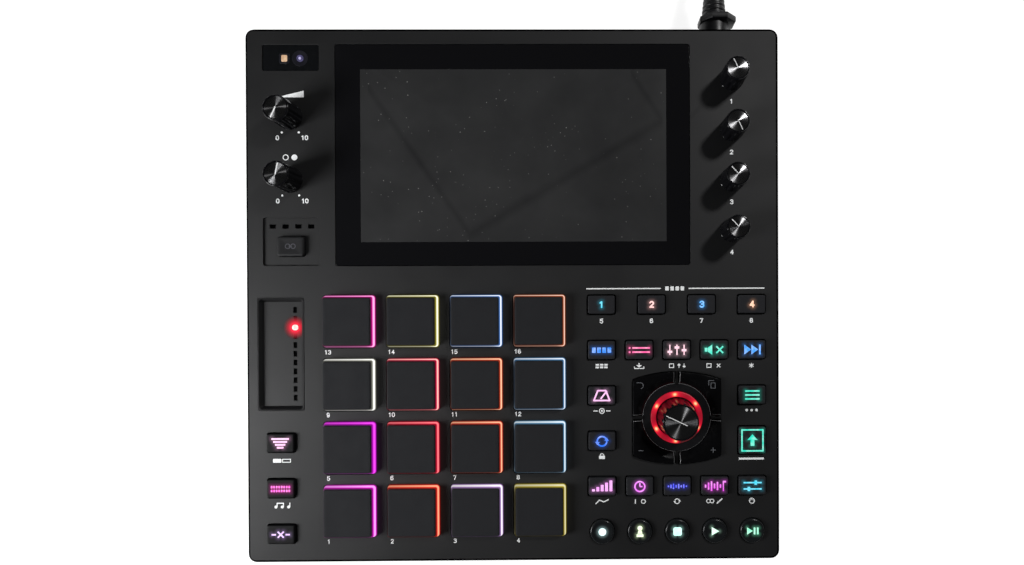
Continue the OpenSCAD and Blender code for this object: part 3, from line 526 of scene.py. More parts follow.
class Finish(Wiring):
    """Shorthand for a node material with one Principled shader."""

    def __init__(self, name, colour, roughness, **settings):
        self.material = bpy.data.materials.new(name)
        self.material.use_nodes = True
        super().__init__(self.material.node_tree)
        self.shader = self.nodes["Principled BSDF"]
        self.shader.inputs["Base Color"].default_value = (*colour, 1)
        self.shader.inputs["Roughness"].default_value = roughness
        for key, value in settings.items():
            self.shader.inputs[key.replace("_", " ")].default_value = value
        self.material.diffuse_color = (*colour, 1)

    def feed(self, socket, source):
        """Links a source to one of the shader's own sockets."""
        self.join(source, self.shader.inputs[socket])
        return self

    def place(self):
        """The object's own coordinates."""
        return self.node("ShaderNodeTexCoord").outputs["Object"]

    def value(self, name):
        """The number that each vertex keeps under a name."""
        return self.node("ShaderNodeAttribute", _attribute_name=name).outputs["Fac"]

    def within(self, source, start, end):
        """One where the source lies between two lengths in millimetres, and zero elsewhere."""
        return self.maths("MULTIPLY", self.maths("GREATER_THAN", source, start * MM),
                          self.maths("LESS_THAN", source, end * MM))

    def noise(self, size_mm, detail=4, rough=0.6, stretch=None):
        """Noise whose grains are about size_mm across, read from the object's own coordinates."""
        source = self.place()
        if stretch is not None:
            mapping = self.node("ShaderNodeMapping", Scale=stretch)
            self.join(source, mapping.inputs["Vector"])
            source = mapping.outputs["Vector"]
        made = self.node("ShaderNodeTexNoise", Scale=1 / (size_mm * MM), Detail=detail, Roughness=rough)
        self.join(source, made.inputs["Vector"])
        return made.outputs["Fac"]

    def ramp(self, source, stops):
        """Colours along a source. The ramp starts with two elements, which become the end stops."""
        made = self.node("ShaderNodeValToRGB")
        elements = made.color_ramp.elements
        for element, (at, colour) in ((elements[-1], stops[-1]), (elements[0], stops[0])):
            element.position, element.color = at, (*colour, 1)
        for at, colour in stops[1:-1]:
            elements.new(at).color = (*colour, 1)
        self.join(source, made.inputs["Fac"])
        return made.outputs["Color"]

    def mottle(self, source, colour, dark, light, start=0.3, end=0.7):
        """The base colour runs from a darker to a lighter shade of itself over a stretch of the source."""
        stops = [(start, shade(colour, dark)), (end, shade(colour, light))]
        return self.feed("Base Color", self.ramp(source, stops))

    def sheen(self, source, lowest, highest, start=0.3, end=0.7):
        """The roughness wanders between two values over a stretch of the source."""
        return self.feed("Roughness", self.bend(source, start, end, lowest, highest))

    def bump(self, source, strength, distance_mm):
        """Fine relief that follows the source."""
        made = self.node("ShaderNodeBump", Strength=strength, Distance=distance_mm * MM)
        self.join(source, made.inputs["Height"])
        return self.feed("Normal", made.outputs["Normal"])


def moulded_plastic(name, colour, roughness=0.45, grain=0.25, grain_mm=0.35, bump_mm=0.03, specular=0.5):
    """Moulded plastic with a fine spark-eroded grain, faint blotches and a little unevenness in its sheen."""
    f = Finish(name, colour, roughness, Specular_IOR_Level=specular)
    fine = f.noise(grain_mm, 3, 0.7)
    broad = f.noise(38, 2, 0.5)
    mixed = f.maths("ADD", f.maths("MULTIPLY", fine, 0.5), f.maths("MULTIPLY", broad, 0.5))
    f.mottle(mixed, colour, 0.72, 1.3)
    f.sheen(broad, roughness - 0.05, roughness + 0.06)
    return f.bump(fine, grain, bump_mm).material


def rubber(name, colour, roughness=0.62, grain_mm=0.3, specular=0.35):
    """Matte silicone rubber with a soft sheen and a faint mottle."""
    f = Finish(name, colour, roughness, Specular_IOR_Level=specular)
    fine = f.noise(grain_mm, 4, 0.7)
    f.mottle(fine, colour, 0.8, 1.2, 0.35, 0.65)
    f.sheen(f.noise(9, 2), roughness - 0.06, roughness + 0.06)
    return f.bump(fine, 0.2, 0.02).material


def lit_rubber(name, colour, light, strength):
    """Rubber with a painted glow around its legend, standing in for the bloom of the legend's light, together
    with the light that bleeds through the rubber: the glow attribute gives how much.
    """
    f = Finish(name, colour, 0.6, Specular_IOR_Level=0.12, Emission_Color=(*light, 1))
    fine = f.noise(0.3, 4, 0.7)
    f.mottle(fine, colour, 0.85, 1.2, 0.35, 0.65)
    f.feed("Emission Strength", f.maths("MULTIPLY", f.value("glow"), strength))
    return f.bump(fine, 0.18, 0.02).material


def lit_legend(name, colour, core, strength=1.0):
    """A legend lit from behind, a little uneven, with a paler core where the lamp sits."""
    f = Finish(name, shade(colour, 0.5), 0.5, Emission_Strength=strength)
    uneven = f.noise(2.2, 2, 0.5)
    return f.feed("Emission Color", f.ramp(uneven, [(0.35, colour), (0.68, core)])).material


def printed_ink(name, colour):
    """Screen-printed ink, with slight wear and unevenness."""
    f = Finish(name, colour, 0.55, Specular_IOR_Level=0.3)
    wear_and_edge_highlight = f.noise(0.8, 4, 0.7)
    f.mottle(wear_and_edge_highlight, colour, 0.75, 1, 0.25, 0.45)
    return f.bump(wear_and_edge_highlight, 0.1, 0.02).material


def gloss_plastic(name, colour, roughness=0.12, coat=0.3, specular=0.5):
    """Polished plastic with faint smears in its sheen."""
    f = Finish(name, colour, roughness, Specular_IOR_Level=specular, Coat_Weight=coat, Coat_Roughness=0.05)
    f.sheen(f.noise(6, 5, 0.7), roughness, roughness + 0.12, 0.35, 0.7)
    return f.mottle(f.noise(3, 3), colour, 0.85, 1.15).material


def dark_window(name):
    """A window over a lamp that is off."""
    return gloss_plastic(name, (0.0006, 0.0006, 0.0007), 0.3, 0, 0.02)


def brushed_metal(name, colour, roughness=0.3):
    """Plain turned or drawn metal with fine lines."""
    f = Finish(name, colour, roughness, Metallic=1.0)
    lines = f.noise(0.4, 3, 0.6, (1, 1, 14))
    f.mottle(lines, colour, 0.75, 1.1)
    f.sheen(lines, roughness - 0.08, roughness + 0.1)
    return f.bump(lines, 0.1, 0.02).material


def turned_metal(name, colour, roughness, spin):
    """Dark anodised metal turned on a lathe: fine rings, and highlights drawn out from the hub to the rim."""
    f = Finish(name, colour, roughness, Metallic=1.0, Anisotropic=spin)
    tangent = f.node("ShaderNodeTangent", _direction_type="UV_MAP", _uv_map="turned")
    f.feed("Tangent", tangent.outputs["Tangent"])
    turned = f.node("ShaderNodeUVMap", _uv_map="turned")
    only_radius = f.node("ShaderNodeMapping", Scale=(900, 0, 0))
    f.join(turned.outputs["UV"], only_radius.inputs["Vector"])
    rings = f.node("ShaderNodeTexNoise", Scale=1.0, Detail=3, Roughness=0.7)
    f.join(only_radius.outputs["Vector"], rings.inputs["Vector"])
    f.mottle(rings.outputs["Fac"], colour, 0.6, 1.5)
    f.sheen(rings.outputs["Fac"], roughness - 0.06, roughness + 0.08)
    return f.bump(rings.outputs["Fac"], 0.12, 0.01).material


def lit_ring(name, stops, colour):
    """A lit plastic whose colour runs through the stops with the heat kept in its vertices."""
    f = Finish(name, colour, 0.35, Specular_IOR_Level=0.4, Emission_Strength=1.0)
    ripple = f.maths("MULTIPLY", f.maths("SUBTRACT", f.noise(0.6, 2, 0.5), 0.5), 0.06)
    return f.feed("Emission Color", f.ramp(f.maths("ADD", f.value("ring_heat"), ripple), stops)).material


# The display under the glass, and the faint painted reflections that cross it, in millimetres
SCREEN_X = (GLASS[0][0] + 12.6, GLASS[1][0] - 11.8)
SCREEN_Y = (GLASS[0][1] + 11.8, GLASS[1][1] - 12.5)
SCREEN_LINES = (((-73, 105), (-22, 31)), ((-22, 31), (76, 88)), ((60, 113), (76, 88)))
LINE_CORE, LINE_REACH = 0.3, 4.2
DUST_STEP = 2.9
GLASS_BLACK, DISPLAY_GREY, DUST_GREY = (0.0052, 0.0052, 0.0060), (0.037, 0.0375, 0.038), (0.17, 0.17, 0.165)


def faint_line(f, x, y, start, end):
    """How near a point lies to a straight line, in height, between the line's two ends."""
    slope = (end[1] - start[1]) / (end[0] - start[0])
    level = f.maths("ADD", f.maths("MULTIPLY", x, slope), (start[1] - slope * start[0]) * MM)
    off = f.maths("ABSOLUTE", f.maths("SUBTRACT", y, level), 0)
    near = f.bend(off, LINE_CORE * MM, LINE_REACH * MM, 1, 0)
    return f.maths("MULTIPLY", near, f.within(x, min(start[0], end[0]), max(start[0], end[0])))


def dust_specks(f):
    """Small round specks at the cells' middles, in drifts."""
    specks = f.node("ShaderNodeTexVoronoi", Scale=1 / (DUST_STEP * MM))
    f.join(f.place(), specks.inputs["Vector"])
    drifts = f.bend(f.noise(16, 3), 0.45, 0.6, 0, 1)
    return f.maths("MULTIPLY", f.maths("LESS_THAN", specks.outputs["Distance"], 0.09), drifts)


def screen_glass(name):
    """Black cover glass over a dark grey display: the display shows as a paler field, with dust and faint
    straight painted reflections laid on it as darker lines."""
    f = Finish(name, (0.004, 0.004, 0.004), 0.08, Specular_IOR_Level=0.25)
    x, y, _ = f.axes(f.place())
    inside = f.maths("MULTIPLY", f.within(x, *SCREEN_X), f.within(y, *SCREEN_Y))
    # Painted reflection: darker straight lines across the display.
    shadow = faint_line(f, x, y, *SCREEN_LINES[0])
    for ends in SCREEN_LINES[1:]:
        shadow = f.maths("MAXIMUM", shadow, faint_line(f, x, y, *ends))
    cloud = f.bend(f.noise(34, 3, 0.6), 0.3, 0.7, 0.75, 1.15)
    level = f.maths("SUBTRACT", cloud, f.maths("MULTIPLY", shadow, 0.24))
    level = f.maths("ADD", level, f.maths("MULTIPLY", dust_specks(f), 1.5))
    level = f.maths("MULTIPLY", f.maths("MULTIPLY", level, inside), 0.4)
    f.feed("Base Color", f.ramp(level, [(0.0, GLASS_BLACK), (0.5, DISPLAY_GREY), (1.0, DUST_GREY)]))
    return f.sheen(inside, 0.06, 0.2, 0, 1).material


def dress(node, *materials):
    """Gives a CAD node its finish and leaves its shape alone."""
    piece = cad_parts[node]
    piece.data.materials.clear()
    for material in materials:
        piece.data.materials.append(material)
    piece.data.shade_smooth()
    piece.data.set_sharp_from_angle(angle=math.radians(30))


# ------------------------------------------------ legends

def note(x):
    """A note with its stem."""
    return dot(x, -0.7, 0.75) + bar(x + 0.6, -0.7, x + 0.6, 1.4, 0.45)


def ray(degrees, radius):
    """The point at an angle and a distance from the middle."""
    return radius * math.cos(math.radians(degrees)), radius * math.sin(math.radians(degrees))


# Each legend's strokes and blocks, in millimetres from the middle of its key
ICONS = {
    "grid": [m for x in (-3.9, -1.3, 1.3, 3.9) for m in block(x, 0, 1.9, 2.7)],
    "list": [m for y in (-1.05, 1.05) for m in block(0.9, y, 9, 0.8)]
    + dot(-4.9, 1.05, 0.5) + dot(-4.9, -1.05, 0.5),
    "faders": [m for x, y in ((-3.6, -1), (0, 1.2), (3.6, -0.2))
               for m in bar(x, -2.6, x, 2.6, 0.6) + block(x, y, 2.4, 1.2)],
    "silent": wedge((-1.2, -2.6), (-1.2, 2.6), (-3.4, 1), (-3.4, -1)) + block(-4.3, 0, 1.4, 2)
    + bar(0.9, -1.7, 4.3, 1.7, 0.8) + bar(0.9, 1.7, 4.3, -1.7, 0.8),
    "skip": wedge((-4, -2.5), (-0.6, 0), (-4, 2.5)) + wedge((-0.4, -2.5), (3, 0), (-0.4, 2.5))
    + bar(3.9, -2.5, 3.9, 2.5, 0.9),
    "pulse": line([(-4, -2.4), (-2, 2.6), (2, 2.6), (4, -2.4), (-4, -2.4)], 0.8)
    + bar(-0.6, -1.6, 2.6, 2.4, 0.8),
    "repeat": arc(0, 0, 2.4, 30, 190, 0.8) + arc(0, 0, 2.4, 210, 370, 0.8)
    + wedge((-3.5, -0.2), (-1.1, -0.4), (-2.4, -1.9)) + wedge((3.5, 0.2), (1.1, 0.4), (2.4, 1.9)),
    "menu": [m for y in (-2, 0, 2) for m in block(0, y, 7.4, 0.85)],
    "steps": [m for i in range(5) for m in block(-4.4 + i * 2.2, -2.3 + 0.55 * (i + 1), 1.5, 1.1 * (i + 1))],
    "clock": arc(0, 0, 2.5, 0, 360, 0.75, 28) + bar(0, 0, 0, 1.7, 0.7) + bar(0, 0, 1.3, 0, 0.7),
    "wave": columns((0.9, 1.9, 2.7, 1.5, 2.4, 1.1, 2.0, 0.8), -4.6, 1.3, 0.75),
    "trim": columns((1.6, 3.6, 5.0, 2.6, 4.2, 1.8), -4.8, 1.5, 0.85)
    + bar(4.2, -2.6, 4.2, 2.6, 0.6) + block(5.0, 2.2, 1.2, 0.9),
    "sliders": [m for x, y in ((-1.9, -1.6), (1.6, 1.6))
                for m in bar(-4.6, y, 4.6, y, 0.75) + block(x, y, 1.3, 2.2)],
    "full": [m for i in range(4) for m in block(0, -2.2 + i * 1.45, 3.4 + 1.8 * i, 0.95)],
    "sixteen": [m for x in range(8) for y in range(2)
                for m in block(-4.4 + x * 1.26, -0.95 + y * 1.9, 0.9, 1.3)],
    "cross": bar(-1.5, -1.5, 1.5, 1.5, 0.8) + bar(-1.5, 1.5, 1.5, -1.5, 0.8)
    + bar(-4.6, 0, -2.4, 0, 0.8) + bar(2.4, 0, 4.6, 0, 0.8),
    "arrow": wedge((-2.6, 0.2), (2.6, 0.2), (0, 3.1)) + block(0, -1.3, 2.0, 3.0),
    "disc": dot(0, 0, 1.95, 28),
    "layers": dot(0, 1.8, 1.25) + wedge((-1.3, -1.0), (1.3, -1.0), (0.6, 1.1), (-0.6, 1.1))
    + block(0, -1.95, 3.5, 1.4),
    "square": block(0, 0, 4.3, 4.3, 0.9),
    "triangle": wedge((-1.7, -2.1), (2.1, 0), (-1.7, 2.1)),
    "triangle_bars": wedge((-2.8, -1.8), (0.1, 0), (-2.8, 1.8))
    + block(1.0, 0, 0.9, 3.5) + block(2.6, 0, 0.9, 3.5),
    "chain": arc(-1.35, 0, 1.15, width=0.42) + arc(1.35, 0, 1.15, width=0.42) + bar(-0.8, 0, 0.8, 0, 0.42),
    "undo_key": arc(0.1, -0.1, 1.5, -80, 110, 0.3) + line([(-0.6, 1.4), (-1.7, 1.4)], 0.3),
    "copy_key": frame_of(0.5, -0.5, 2.4, 3.0, 0.3) + line([(-1.7, -0.4), (-1.7, 2.0), (0.9, 2.0)], 0.3),
    "minus_key": bar(-1.3, 0, 1.3, 0, 0.34),
    "plus_key": bar(-1.3, 0, 1.3, 0, 0.34) + bar(0, -1.3, 0, 1.3, 0.34),
}

# The small sign under each key that has one, in the order of sign_spots()
SIGNS = [
    block(-2.3, 0, 4.2, 1.9, 0.3) + frame_of(2.4, 0, 4.4, 1.9, 0.4),
    note(-3.1) + note(0.1) + bar(-2.6, 1.2, 0.9, 1.2, 0.5) + note(3.3),
    arc(0, 0, 1.25, width=0.45) + dot(0, 0, 0.5) + bar(-4.4, 0, -2.2, 0, 0.5) + bar(2.2, 0, 4.4, 0, 0.5),
    dot(-2.5, 0, 0.7) + dot(0, 0, 0.7) + dot(2.5, 0, 0.7),
    block(0, -0.6, 3, 1.7, 0.3) + arc(0, 0.3, 0.95, 0, 180, 0.42),
    [m for x in (-2.2, 0, 2.2) for y in (-0.65, 0.65) for m in block(x, y, 1.7, 0.9, 0.15)],
    wedge((-1.5, 0.4), (0, -0.9), (1.5, 0.4)) + bar(0, 0.2, 0, 1.4, 0.6) + bar(-2.4, -1.3, 2.4, -1.3, 0.45)
    + bar(-2.4, -1.4, -2.4, -0.3, 0.45) + bar(2.4, -1.4, 2.4, -0.3, 0.45),
    frame_of(-2.6, 0, 2.6, 2.3, 0.42) + bar(1.2, -1.1, 1.2, 1.1, 0.4) + bar(3.8, -1.1, 3.8, 1.1, 0.4)
    + block(1.2, 0.4, 1.5, 0.7) + block(3.8, -0.4, 1.5, 0.7),
    frame_of(-2.6, 0, 2.6, 2.3, 0.42) + bar(1.4, -0.9, 3.2, 0.9, 0.5) + bar(1.4, 0.9, 3.2, -0.9, 0.5),
    bar(0, -1.2, 0, 1.2, 0.45) + bar(-1.1, -0.65, 1.1, 0.65, 0.45) + bar(-1.1, 0.65, 1.1, -0.65, 0.45),
    line([(-3.2, -1), (-1.4, 0.9), (0.8, -0.1), (3.2, 1.1)], 0.5),
    bar(-2.2, -1.1, -2.2, 1.1, 0.5) + arc(1.9, 0, 1.0, width=0.45),
    arc(0, 0, 1.2, 30, 160, 0.45) + arc(0, 0, 1.2, 210, 340, 0.45)
    + wedge((-1.9, 0.2), (-0.6, 0.1), (-1.3, -0.8)) + wedge((1.9, -0.2), (0.6, -0.1), (1.3, 0.8)),
    arc(-3.1, 0, 0.95, width=0.42) + arc(-1.3, 0, 0.95, width=0.42) + line([(1.3, -1.1), (3.8, 1.1)], 0.6),
    arc(0, 0, 1.3, width=0.4) + [m for t in range(0, 181, 60) for m in dot(*ray(t, 0.7), 0.22, 8)],
]

# The legend and the light of each key, and a pad's pale core and rich fringe, as screen colours
CYAN, TEAL = (60, 205, 235), (30, 215, 185)
LIT_KEYS = {
    "bank_keys": [("1", CYAN), ("2", (250, 190, 185)), ("3", (70, 170, 250)),
                  ("4", (255, 190, 150))],
    "upper_keys": [("grid", (40, 130, 240)), ("list", (250, 90, 160)), ("faders", (250, 200, 215)),
                   ("silent", TEAL), ("skip", (60, 150, 245))],
    "lower_keys": [("steps", (235, 150, 235)), ("clock", (230, 110, 240)), ("wave", (60, 70, 240)),
                   ("trim", (225, 70, 225)), ("sliders", CYAN)],
    "full_level_key": [("full", (245, 180, 225))],
    "levels_key": [("sixteen", (240, 50, 190))],
    "erase_key": [("cross", (205, 170, 235))],
    "tap_key": [("pulse", (240, 175, 225))],
    "repeat_key": [("repeat", (40, 110, 235))],
    "menu_key": [("menu", TEAL)],
    "shift_key": [("arrow", TEAL)],
}
ROUND_KEYS = {
    "record_key": ("disc", (215, 255, 255)),
    "overdub_key": ("layers", (225, 250, 200)),
    "stop_key": ("square", (190, 255, 240)),
    "play_key": ("triangle", (205, 255, 225)),
    "pause_key": ("triangle_bars", (130, 235, 190)),
}
PAD_LIGHTS = [
    ((255, 158, 250), (225, 30, 205)),
    ((252, 165, 128), (235, 45, 35)),
    ((252, 246, 251), (190, 150, 215)),
    ((214, 210, 170), (190, 170, 60)),
    ((238, 74, 235), (200, 25, 205)),
    ((250, 122, 130), (215, 25, 60)),
    ((243, 182, 143), (220, 60, 45)),
    ((226, 238, 245), (110, 165, 205)),
    ((253, 253, 248), (150, 150, 140)),
    ((255, 187, 180), (215, 20, 75)),
    ((243, 200, 161), (220, 75, 45)),
    ((226, 233, 242), (95, 150, 200)),
    ((255, 175, 230), (215, 20, 150)),
    ((253, 253, 230), (175, 165, 60)),
    ((240, 244, 249), (90, 140, 215)),
    ((232, 198, 180), (190, 90, 45)),
]


KEY_NUMBER = (3.5, 0.75)
GLOW_DEPTH = 0.3


def legend_parts(icon, floor, place):
    """The plates of one legend, and the outline points that its glow is measured from."""
    marks = number(icon, 0, 0, *KEY_NUMBER) if icon.isdigit() else ICONS[icon]
    return [plates(marks, floor, place=place)], np.vstack(marks) + place


def glow_of(piece, spots, top, reach=1.0):
    """How much painted glow each vertex gets from the legend's light: exp of minus the squared share of the
    distance to the nearest outline point, on the top face only."""
    here = coordinates(piece)
    apart = np.linalg.norm(here[:, None, :2] - spots[None], axis=2).min(1)
    give_values(piece, "glow", np.exp(-(apart / reach) ** 2) * (here[:, 2] > top - GLOW_DEPTH))


# ------------------------------------------------ settings

class DRUM_PG_case(bpy.types.PropertyGroup):
    """Sizes and colour of the panel and the case."""

    colour: FloatVectorProperty(name="Colour", description="Colour of the case's plastic", subtype="COLOR",
                                default=(0.0048, 0.0049, 0.0054), min=0, max=1)
    edge: FloatProperty(name="Edge radius", description="Radius of the rounding around the panel",
                        default=1.35 * MM, unit="LENGTH")
    rim: FloatProperty(name="Rim radius", description="Radius of the rounding at each hole in the panel",
                       default=0.14 * MM, unit="LENGTH")
    corner: FloatProperty(name="Corner radius", description="Radius of the case's upright corners",
                          default=4.3 * MM, unit="LENGTH")
    wall: FloatProperty(name="Wall", description="Thickness of the case's walls", default=2.6 * MM,
                        unit="LENGTH")


class DRUM_PG_pads(bpy.types.PropertyGroup):
    """Looks of the sixteen pads."""

    colour: FloatVectorProperty(name="Colour", description="Colour of the pads' tops", subtype="COLOR",
                                default=(0.0150, 0.0155, 0.0175), min=0, max=1)
    light: FloatProperty(name="Light", description="Strength of the light around a pad", default=1.2, min=0)
    slope: FloatProperty(name="Slope", description="How much a pad narrows on each side", default=1.25 * MM,
                         unit="LENGTH")
    cap: FloatProperty(name="Cap", description="Thickness of a pad's dark top", default=1 * MM, unit="LENGTH")
    edge: FloatProperty(name="Edge radius", description="Rounding of a pad's top edge", default=0.55 * MM,
                        unit="LENGTH")


class DRUM_PG_keys(bpy.types.PropertyGroup):
    """Looks of the keys."""

    colour: FloatVectorProperty(name="Colour", description="Colour of the keys", subtype="COLOR",
                                default=(0.0178, 0.0181, 0.0204), min=0, max=1)
    edge: FloatProperty(name="Edge radius", description="Rounding of a key's top edge", default=0.5 * MM,
                        unit="LENGTH")
    corner: FloatProperty(name="Corner radius", description="Radius of a key's upright corners",
                          default=0.95 * MM, unit="LENGTH")
    # Painted glow: the strength of the glow around each legend.
    glow: FloatProperty(name="Glow", description="Strength of the light that bleeds around a legend",
                        default=0.14, min=0)
    light: FloatProperty(name="Light", description="Strength of the legends' light", default=1.0, min=0)


class DRUM_PG_knobs(bpy.types.PropertyGroup):
    """Looks of the knobs."""

    pointer: FloatProperty(name="Pointer width", description="Width of the white line on a knob",
                           default=0.68 * MM, unit="LENGTH")
    flute: FloatProperty(name="Flute depth", description="Depth of the flutes in a knob's side",
                         default=0.55 * MM, unit="LENGTH")
    spin: FloatProperty(name="Spin", description="How strongly the turned caps draw out their highlights",
                        default=1.0, min=0, max=1)


class DRUM_PG_lead(bpy.types.PropertyGroup):
    """Sizes of the power lead."""

    radius: FloatProperty(name="Radius", description="Radius of the lead", default=2.4 * MM, unit="LENGTH")
    coil_radius: FloatProperty(name="Coil radius", description="Radius of the coil's outer turn",
                               default=33 * MM, unit="LENGTH")
    step: FloatProperty(name="Layer step", description="Height of a layer of the coil", default=4.85 * MM,
                        unit="LENGTH")


class DRUM_PG_stage(bpy.types.PropertyGroup):
    """The floor, the lamps and the camera."""

    lens: FloatProperty(name="Focal length", description="Focal length of the camera in millimetres",
                        default=21.445, min=1)
    small_power: FloatProperty(name="Small lamp", description="Power of the small lamp",
                               default=5.0, min=0, unit="POWER")
    soft_power: FloatProperty(name="Soft lamp", description="Power of the large soft lamp",
                              default=3.3, min=0, unit="POWER")
    world: FloatProperty(name="Room light", description="Strength of the even light of the room",
                         default=0.12, min=0)


class DRUM_PG_machine(bpy.types.PropertyGroup):
    """All settings of the drum machine."""

    case: PointerProperty(type=DRUM_PG_case)
    pads: PointerProperty(type=DRUM_PG_pads)
    keys: PointerProperty(type=DRUM_PG_keys)
    knobs: PointerProperty(type=DRUM_PG_knobs)
    lead: PointerProperty(type=DRUM_PG_lead)
    stage: PointerProperty(type=DRUM_PG_stage)


def settings():
    """The scene's settings of the drum machine."""
    return bpy.context.scene.drum_machine


# ------------------------------------------------ camera, lamps and floor

# The camera's place, its turn in degrees from straight down, and the shift of its sensor
CAMERA_PLACE = (39.715 * MM, -8.778 * MM, 348.716 * MM)
CAMERA_TURN = (-0.22275, -0.51941, -0.24593)
CAMERA_SHIFT = (-0.0835, 0.03125)
SENSOR_WIDTH = 36
NEAREST = 0.01
FLOOR_HALF = 3
LAMP_AIM = (0, 0, 0.02)


def aimed_lamp(name, azimuth, height, distance, size, power, colour):
    """A square lamp at a direction and a height in degrees from the aim, and turned towards it."""
    a, h = math.radians(azimuth), math.radians(height)
    lamp = bpy.data.lights.new(name, "AREA")
    lamp.energy, lamp.size, lamp.color = power, size, colour
    holder = bpy.data.objects.new(name, lamp)
    way = math.cos(h) * math.cos(a), math.cos(h) * math.sin(a), math.sin(h)
    holder.location = [start + distance * share for start, share in zip(LAMP_AIM, way)]
    holder.rotation_euler = Euler((math.pi / 2 - h, 0, a + math.pi / 2))
    bpy.context.scene.collection.objects.link(holder)


class DRUM_OT_stage(bpy.types.Operator):
    """Set up the floor, the room, the lamps and the camera."""

    bl_idname = "drum.stage"
    bl_label = "Stage"

    def execute(self, context):
        s = settings().stage
        camera = bpy.data.cameras.new("camera")
        camera.lens, camera.sensor_width = s.lens, SENSOR_WIDTH
        camera.shift_x, camera.shift_y = CAMERA_SHIFT
        camera.clip_start = NEAREST
        holder = bpy.data.objects.new("camera", camera)
        holder.location = CAMERA_PLACE
        holder.rotation_euler = Euler([math.radians(v) for v in CAMERA_TURN])
        context.scene.collection.objects.link(holder)
        context.scene.camera = holder
        context.scene.view_settings.view_transform = "Standard"
        aimed_lamp("small_lamp", azimuth=43, height=42, distance=1.1, size=0.12, power=s.small_power,
                   colour=(1, 0.99, 0.99))
        aimed_lamp("soft_lamp", azimuth=199, height=27, distance=0.56, size=0.24, power=s.soft_power,
                   colour=(0.985, 0.99, 1))
        self.room(context, s.world)
        self.floor(context)
        return {"FINISHED"}

    def room(self, context, strength):
        """Even light for the surfaces, white for the camera, and for gloss and glass a white wall all round,
        which darkens towards the opening overhead that the camera looks through."""
        world = bpy.data.worlds.new("room")
        context.scene.world = world
        world.use_nodes = True
        w = Wiring(world.node_tree)
        even = w.nodes["Background"]
        even.inputs["Color"].default_value = (1, 1, 1, 1)
        even.inputs["Strength"].default_value = strength
        *_, up = w.axes(w.node("ShaderNodeTexCoord").outputs["Generated"])
        path = w.node("ShaderNodeLightPath")
        wall = w.node("ShaderNodeBackground", Color=(1, 1, 1, 1))
        fall = w.bend(up, 0.04, 0.2, 1, 0.02)
        w.join(w.maths("MAXIMUM", fall, path.outputs["Is Camera Ray"]), wall.inputs["Strength"])
        w.show(even, wall, "World Output", path)

    def floor(self, context):
        """A pale floor that looks white and keeps a soft shadow."""
        bm = bmesh.new()
        bmesh.ops.create_grid(bm, x_segments=1, y_segments=1, size=FLOOR_HALF)
        mesh = bpy.data.meshes.new("floor")
        bm.to_mesh(mesh)
        bm.free()
        ground = bpy.data.objects.new("floor", mesh)
        context.scene.collection.objects.link(ground)
        f = Finish("floor_white", (0.34, 0.34, 0.34), 0.9, Specular_IOR_Level=0.1)
        away = f.node("ShaderNodeVectorMath", _operation="LENGTH")
        f.join(f.place(), away.inputs[0])
        shine = f.node("ShaderNodeEmission", Color=(1, 1, 1, 1))
        f.join(f.bend(away.outputs["Value"], 0.3, 0.9, 0.89, 1.0), shine.inputs["Strength"])
        both = f.node("ShaderNodeAddShader")
        f.join(f.shader.outputs[0], both.inputs[0])
        f.join(shine.outputs[0], both.inputs[1])
        f.show(f.shader, both, "Material Output", f.node("ShaderNodeLightPath"))
        mesh.materials.append(f.material)


# ------------------------------------------------ power lead

# The lead's way from the plug down to the floor, and its tail from the coil to the adaptor, in millimetres
LEAD_ROUTE = [
    (105.6, 173, 21.8), (105.6, 176, 21.8), (106.1, 180, 21), (107.4, 184, 19.4),
    (110, 189, 16.6), (113.2, 194, 13.2), (116.7, 199, 9.8), (120, 204, 6.8),
    (122.7, 209, 4.4), (124.5, 214, 3), (125, 218, 2.6)
]
TAIL_ROUTE = [(92, 251, 17.5), (86, 251, 17.5), (80, 251, 17.6), (74, 251, 17.7), (71, 251, 17.8),
              (68, 251, 17.8)]
LEAD_SIDES = 14
# The coil's spirals: turns in each of the first three and in the last, and how far a turn lies from the next
COIL_TURNS, LAST_TURNS = 2, 2.25
PITCH, LAST_PITCH = 5.0, 4.862
CLIMB = 1 / 6
PLUG_SINK = 9.3
COLLAR_ACROSS = 19.0
COLLAR_SHIFT = 1.5
TIE_WIDTH = 11.0
TIE_BEARING = 215


def coil_path(outer, low_z, step, per_turn=48):
    """Four flat spirals, in, out, in and out again a quarter turn further, one on the other. The line climbs
    through a layer's step in the sixth of a turn on both sides of each change, as 3 t squared - 2 t cubed."""
    changes = np.arange(4) * COIL_TURNS
    end = changes[-1] + LAST_TURNS
    turns = np.arange(0, end + 0.5 / per_turn, 1 / per_turn)
    inner, last_inner = outer - COIL_TURNS * PITCH, outer - LAST_TURNS * LAST_PITCH
    radius = np.interp(turns, [*changes, end], [outer, inner, outer, last_inner, outer])
    layer = np.clip((turns[:, None] - changes[1:] + CLIMB) / (2 * CLIMB), 0, 1)
    height = low_z + step * (layer ** 2 * (3 - 2 * layer)).sum(1)
    angle = turns * 2 * math.pi
    return np.stack([COIL[0] + radius * np.cos(angle), COIL[1] + radius * np.sin(angle), height], -1)


